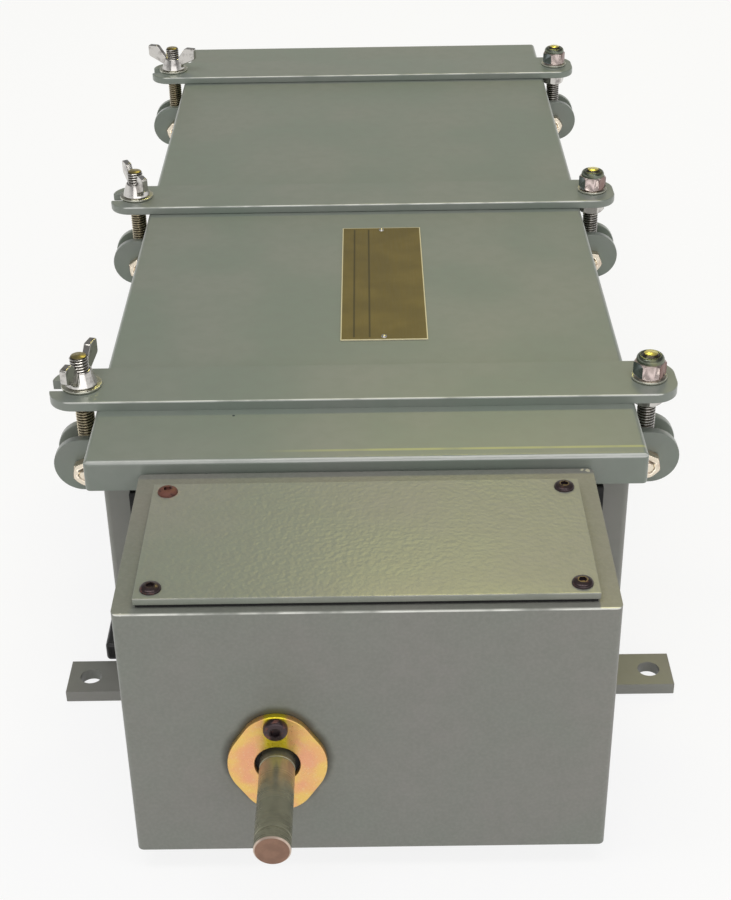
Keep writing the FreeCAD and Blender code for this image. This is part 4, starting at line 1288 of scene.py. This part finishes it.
@dataclass(frozen=True)
class GearBox:
    """The gear housing with its cover, seal block, retainer and input shaft, in millimetres."""

    castings: tuple[tuple[str, Finish, float], ...] = (
        ("gear_housing", HOUSING_ENAMEL, 0.7),
        ("gear_cover", COVER_ENAMEL, 0.45),
        ("cover_gasket", RUBBER, 0.3),
        ("housing_spacer", RUBBER, 0.6),
    )
    cover_head: tuple[float, float, float] = (9.2, 2.1, 3.2)
    retainer_head: tuple[float, float, float] = (11.0, 3.4, 4.0)
    head_steps: int = 8
    shaft_d: float = 15.875
    shaft_chamfer: float = 0.8
    groove_width: float = 1.1
    groove_slope: float = 0.2
    grooves: tuple[Pair, ...] = ((6.0, 0.5), (48.2, 0.25))

    def button_screw(self, name: str, size: tuple[float, float, float], flatness: float) -> Piece:
        """Makes a button head about Z, seated at 0, with its hexagon socket.

        Args:
            name: The piece's name.
            size: The head's diameter and height and its socket's size across the flats.
            flatness: 2 for a round dome, and more for a flatter one with a tighter edge.

        Returns:
            The screw's head.
        """
        head_d, head, flats = size
        stations = [(-0.3, head_d / 2 - 0.3), (0.0, head_d / 2)]
        for step in range(1, self.head_steps + 1):
            share = math.sin(step / self.head_steps * math.pi / 2)
            reach = head_d / 2 * (1 - share**flatness) ** (1 / flatness)
            stations.append((head * share, max(reach, flats * 0.7)))
        screw = Bench.turned(name, stations)
        recess = Bench.hexagonal(name + "_recess", flats, head * 0.5, head + 2, 0.01)
        return Bench.level(Bench.combine(screw, recess, "DIFFERENCE"), 40)

    def build_cover(self) -> None:
        """Eases the housing, the cover plate and its gasket, and sets the cover screws."""
        for node, finish, width in self.castings:
            eased(node, "eased", width, finish)
        low, high = box_mm("cover_screws")
        seat, inset = box_mm("gear_cover")[1].z, self.cover_head[0] / 2
        screws = []
        for x in within(low.x, high.x, inset):
            for y in within(low.y, high.y, inset):
                screw = self.button_screw("cover_screw", self.cover_head, 2.8)
                rusty = x < 0 < y - middle("gear_cover").y
                screw.data.materials.append((RUSTY_SCREW if rusty else BLACK_SCREW).material())
                screws.append(Bench.placed(screw, shift(x, y, seat) @ turn_z(17 * len(screws))))
        finished_set(screws, "cover_screws", BLACK_SCREW)

    def build_shaft(self) -> None:
        """Turns the input shaft and eases its retainer plate and screws."""
        eased("shaft_retainer", "eased", 0.5, YELLOW_ZINC)
        low, high = box_mm("input_shaft")
        length, radius, chamfer = high.y - low.y, self.shaft_d / 2, self.shaft_chamfer
        stations = [(0, radius - chamfer), (chamfer, radius)]
        for start, depth in self.grooves:
            end, slope = start + self.groove_width, self.groove_slope
            stations += [(start, radius), (start + slope, radius - depth)]
            stations += [(end - slope, radius - depth), (end, radius)]
        stations += [(length - chamfer, radius), (length, radius - chamfer)]
        shaft = Bench.smooth(Bench.turned("input_shaft_turned", stations, sides=96), 30)
        axis = middle("input_shaft")
        Bench.placed(shaft, shift(axis.x, low.y, axis.z) @ facing("+Y"))
        finished(shaft, "input_shaft", SHAFT_STEEL)
        low, high = box_mm("retainer_screws")
        seat = box_mm("shaft_retainer")[0].y
        screws = []
        for z in within(low.z, high.z, self.retainer_head[0] / 2):
            screw = self.button_screw("retainer_screw", self.retainer_head, 4.0)
            screws.append(Bench.placed(screw, shift(axis.x, seat, z) @ facing("-Y")))
        finished_set(screws, "retainer_screws", BLACK_SCREW)

    def build(self) -> None:
        """Makes the whole gear box."""
        self.build_cover()
        self.build_shaft()


@dataclass(frozen=True)
class RatingPlate:
    """The bare rating plate with its two rivets, in millimetres."""

    rivet_d: float = 3.2
    rivet_dome: tuple[Pair, ...] = ((0, 1), (0.35, 0.95), (0.7, 0.75), (0.92, 0.45), (0.98, 0.12))

    def build(self) -> None:
        """Makes the plate and the rivet heads."""
        low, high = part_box("rating_plate")
        centre = ((low.x + high.x) / 2, (low.y + high.y) / 2)
        size = (high.x - low.x, high.y - low.y)
        eased("rating_plate", "etched", 0.2, PlateBrass("plate_brass", (0.140, 0.103, 0.026), centre, size))
        low, high = box_mm("plate_rivets")
        radius = self.rivet_d / 2
        stations = [(height, radius * share) for height, share in self.rivet_dome]
        rivets = []
        for y in within(low.y, high.y, radius):
            rivet = Bench.smooth(Bench.turned("plate_rivet", stations, sides=24), 60)
            rivets.append(Bench.placed(rivet, shift(middle("plate_rivets").x, y, low.z)))
        finished_set(rivets, "plate_rivets", ZINC)


@dataclass(frozen=True)
class Studio:
    """The camera, the lamps, the floor and the world."""

    place: Place = (4.24, -963.14, 563.18)
    focal_px: float = 1654.40
    pitch: float = 31.638
    yaw: float = -0.369
    roll: float = -1.001
    clip: Pair = (0.01, 50.0)
    aim: Place = (0.0, -0.1, 0.1)
    ambient: float = 0.42
    ceiling: float = 0.22
    backdrop_top: float = 0.10
    backdrop_fade: float = 0.25
    floor_size: float = 30.0
    floor_drop: float = 0.0004
    floor_colour: Colour = (0.95, 0.95, 0.95)
    floor_glow: float = 0.85

    def camera(self) -> None:
        """Sets the camera that the photograph was solved for."""
        data = bpy.data.cameras.new("camera")
        data.lens = self.focal_px / PHOTO_HEIGHT_PX * SENSOR_MM
        data.sensor_width = SENSOR_MM
        data.clip_start, data.clip_end = self.clip
        camera = bpy.data.objects.new("camera", data)
        tilt = Matrix.Rotation(math.radians(90 - self.pitch), 4, "X")
        camera.matrix_world = shift(*self.place) @ turn_z(-self.yaw) @ tilt @ turn_z(self.roll)
        bpy.context.scene.collection.objects.link(camera)
        bpy.context.scene.camera = camera

    def lamp(self, name: str, place: Place, size: Pair, power: float, colour: Colour) -> None:
        """Adds an area lamp that points at the aim.

        Args:
            name: The lamp's name.
            place: Where it stands, in metres.
            size: Its width and height, in metres.
            power: Its power in watts.
            colour: Its colour.
        """
        data = bpy.data.lights.new(name, "AREA")
        data.shape = "RECTANGLE"
        data.size, data.size_y = size
        data.energy = power
        data.color = colour
        lamp = bpy.data.objects.new(name, data)
        lamp.location = place
        lamp.rotation_euler = (Vector(self.aim) - Vector(place)).to_track_quat("-Z", "Y").to_euler()
        bpy.context.scene.collection.objects.link(lamp)

    def lamps(self) -> None:
        """Places the overhead softbox, the warm lamp behind and the front fill."""
        self.lamp("overhead", (-0.1, -0.66, 1.7), (1.8, 0.45), 9.5, (1.0, 0.99, 0.96))
        self.lamp("warm_behind", (0.22, 1.13, 1.50), (0.55, 0.18), 5.5, (1.0, 0.90, 0.28))
        self.lamp("front_fill", (0.3, -2.2, 0.8), (2.8, 0.9), 10.5, (1.0, 0.98, 0.99))

    @staticmethod
    def rays(graph: Graph) -> tuple[Signal, Signal]:
        """Returns 1 for rays straight from the camera, and for those that also come by gloss or glass."""
        path = graph.add("ShaderNodeLightPath").socket.node.outputs
        straight, gloss, glass = (
            Signal(graph, path[f"Is {kind} Ray"]) for kind in ("Camera", "Glossy", "Transmission")
        )
        return straight, straight.most(gloss).most(glass)

    def world(self) -> None:
        """Lights the scene softly, with a white backdrop round the horizon and a dimmer ceiling."""
        world = bpy.data.worlds.new("studio")
        world.use_nodes = True
        bpy.context.scene.world = world
        graph = Graph(world.node_tree)
        straight, seen = self.rays(graph)
        _, _, up = graph.axes()
        top = self.backdrop_top
        gloss = graph.span(up, top, top + self.backdrop_fade, 1.0, self.ceiling)
        strength = ((gloss - self.ambient) * seen + self.ambient).most(straight)
        back = graph.add("ShaderNodeBackground", None, {"Color": (1, 1, 1, 1), "Strength": strength})
        graph.add("ShaderNodeOutputWorld", None, {"Surface": back})

    def floor(self) -> None:
        """Lays a pale floor that keeps the object's shadow."""
        bpy.ops.mesh.primitive_plane_add(size=self.floor_size, location=(0, 0, -self.floor_drop))
        floor = Bench.named("floor")
        material = bpy.data.materials.new("pale_floor")
        material.use_nodes = True
        graph = Graph(material.node_tree)
        matt = graph.add("ShaderNodeBsdfDiffuse", None, {"Color": (*self.floor_colour, 1)})
        glow = graph.add("ShaderNodeEmission", None, {"Color": (1, 1, 1, 1), "Strength": 1.0})
        _, seen = self.rays(graph)
        mixed = graph.add("ShaderNodeMixShader", None, {0: seen * self.floor_glow, 1: matt, 2: glow})
        graph.add("ShaderNodeOutputMaterial", None, {"Surface": mixed})
        floor.data.materials.append(material)

    def build(self) -> None:
        """Sets up the studio."""
        self.camera()
        self.lamps()
        self.world()
        self.floor()
        bpy.context.scene.view_settings.view_transform = "Standard"


def dress_nodes() -> None:
    """Gives every node the procedural finish of its slot."""
    for name, node in frame["nodes"].items():
        node.data.materials.clear()
        node.data.materials.append(SLOT_FINISHES[slot_of(name)].material())


def main() -> None:
    """Builds the scene in order."""
    logging.basicConfig(level=logging.INFO, format="%(message)s")
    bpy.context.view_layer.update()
    dress_nodes()
    for assembly in (Studio(), Enclosure(), GearBox(), RatingPlate(), Fitting(), ClampHardware()):
        log.info("building %s", type(assembly).__name__)
        assembly.build()


if __name__ == "__main__":
    main()
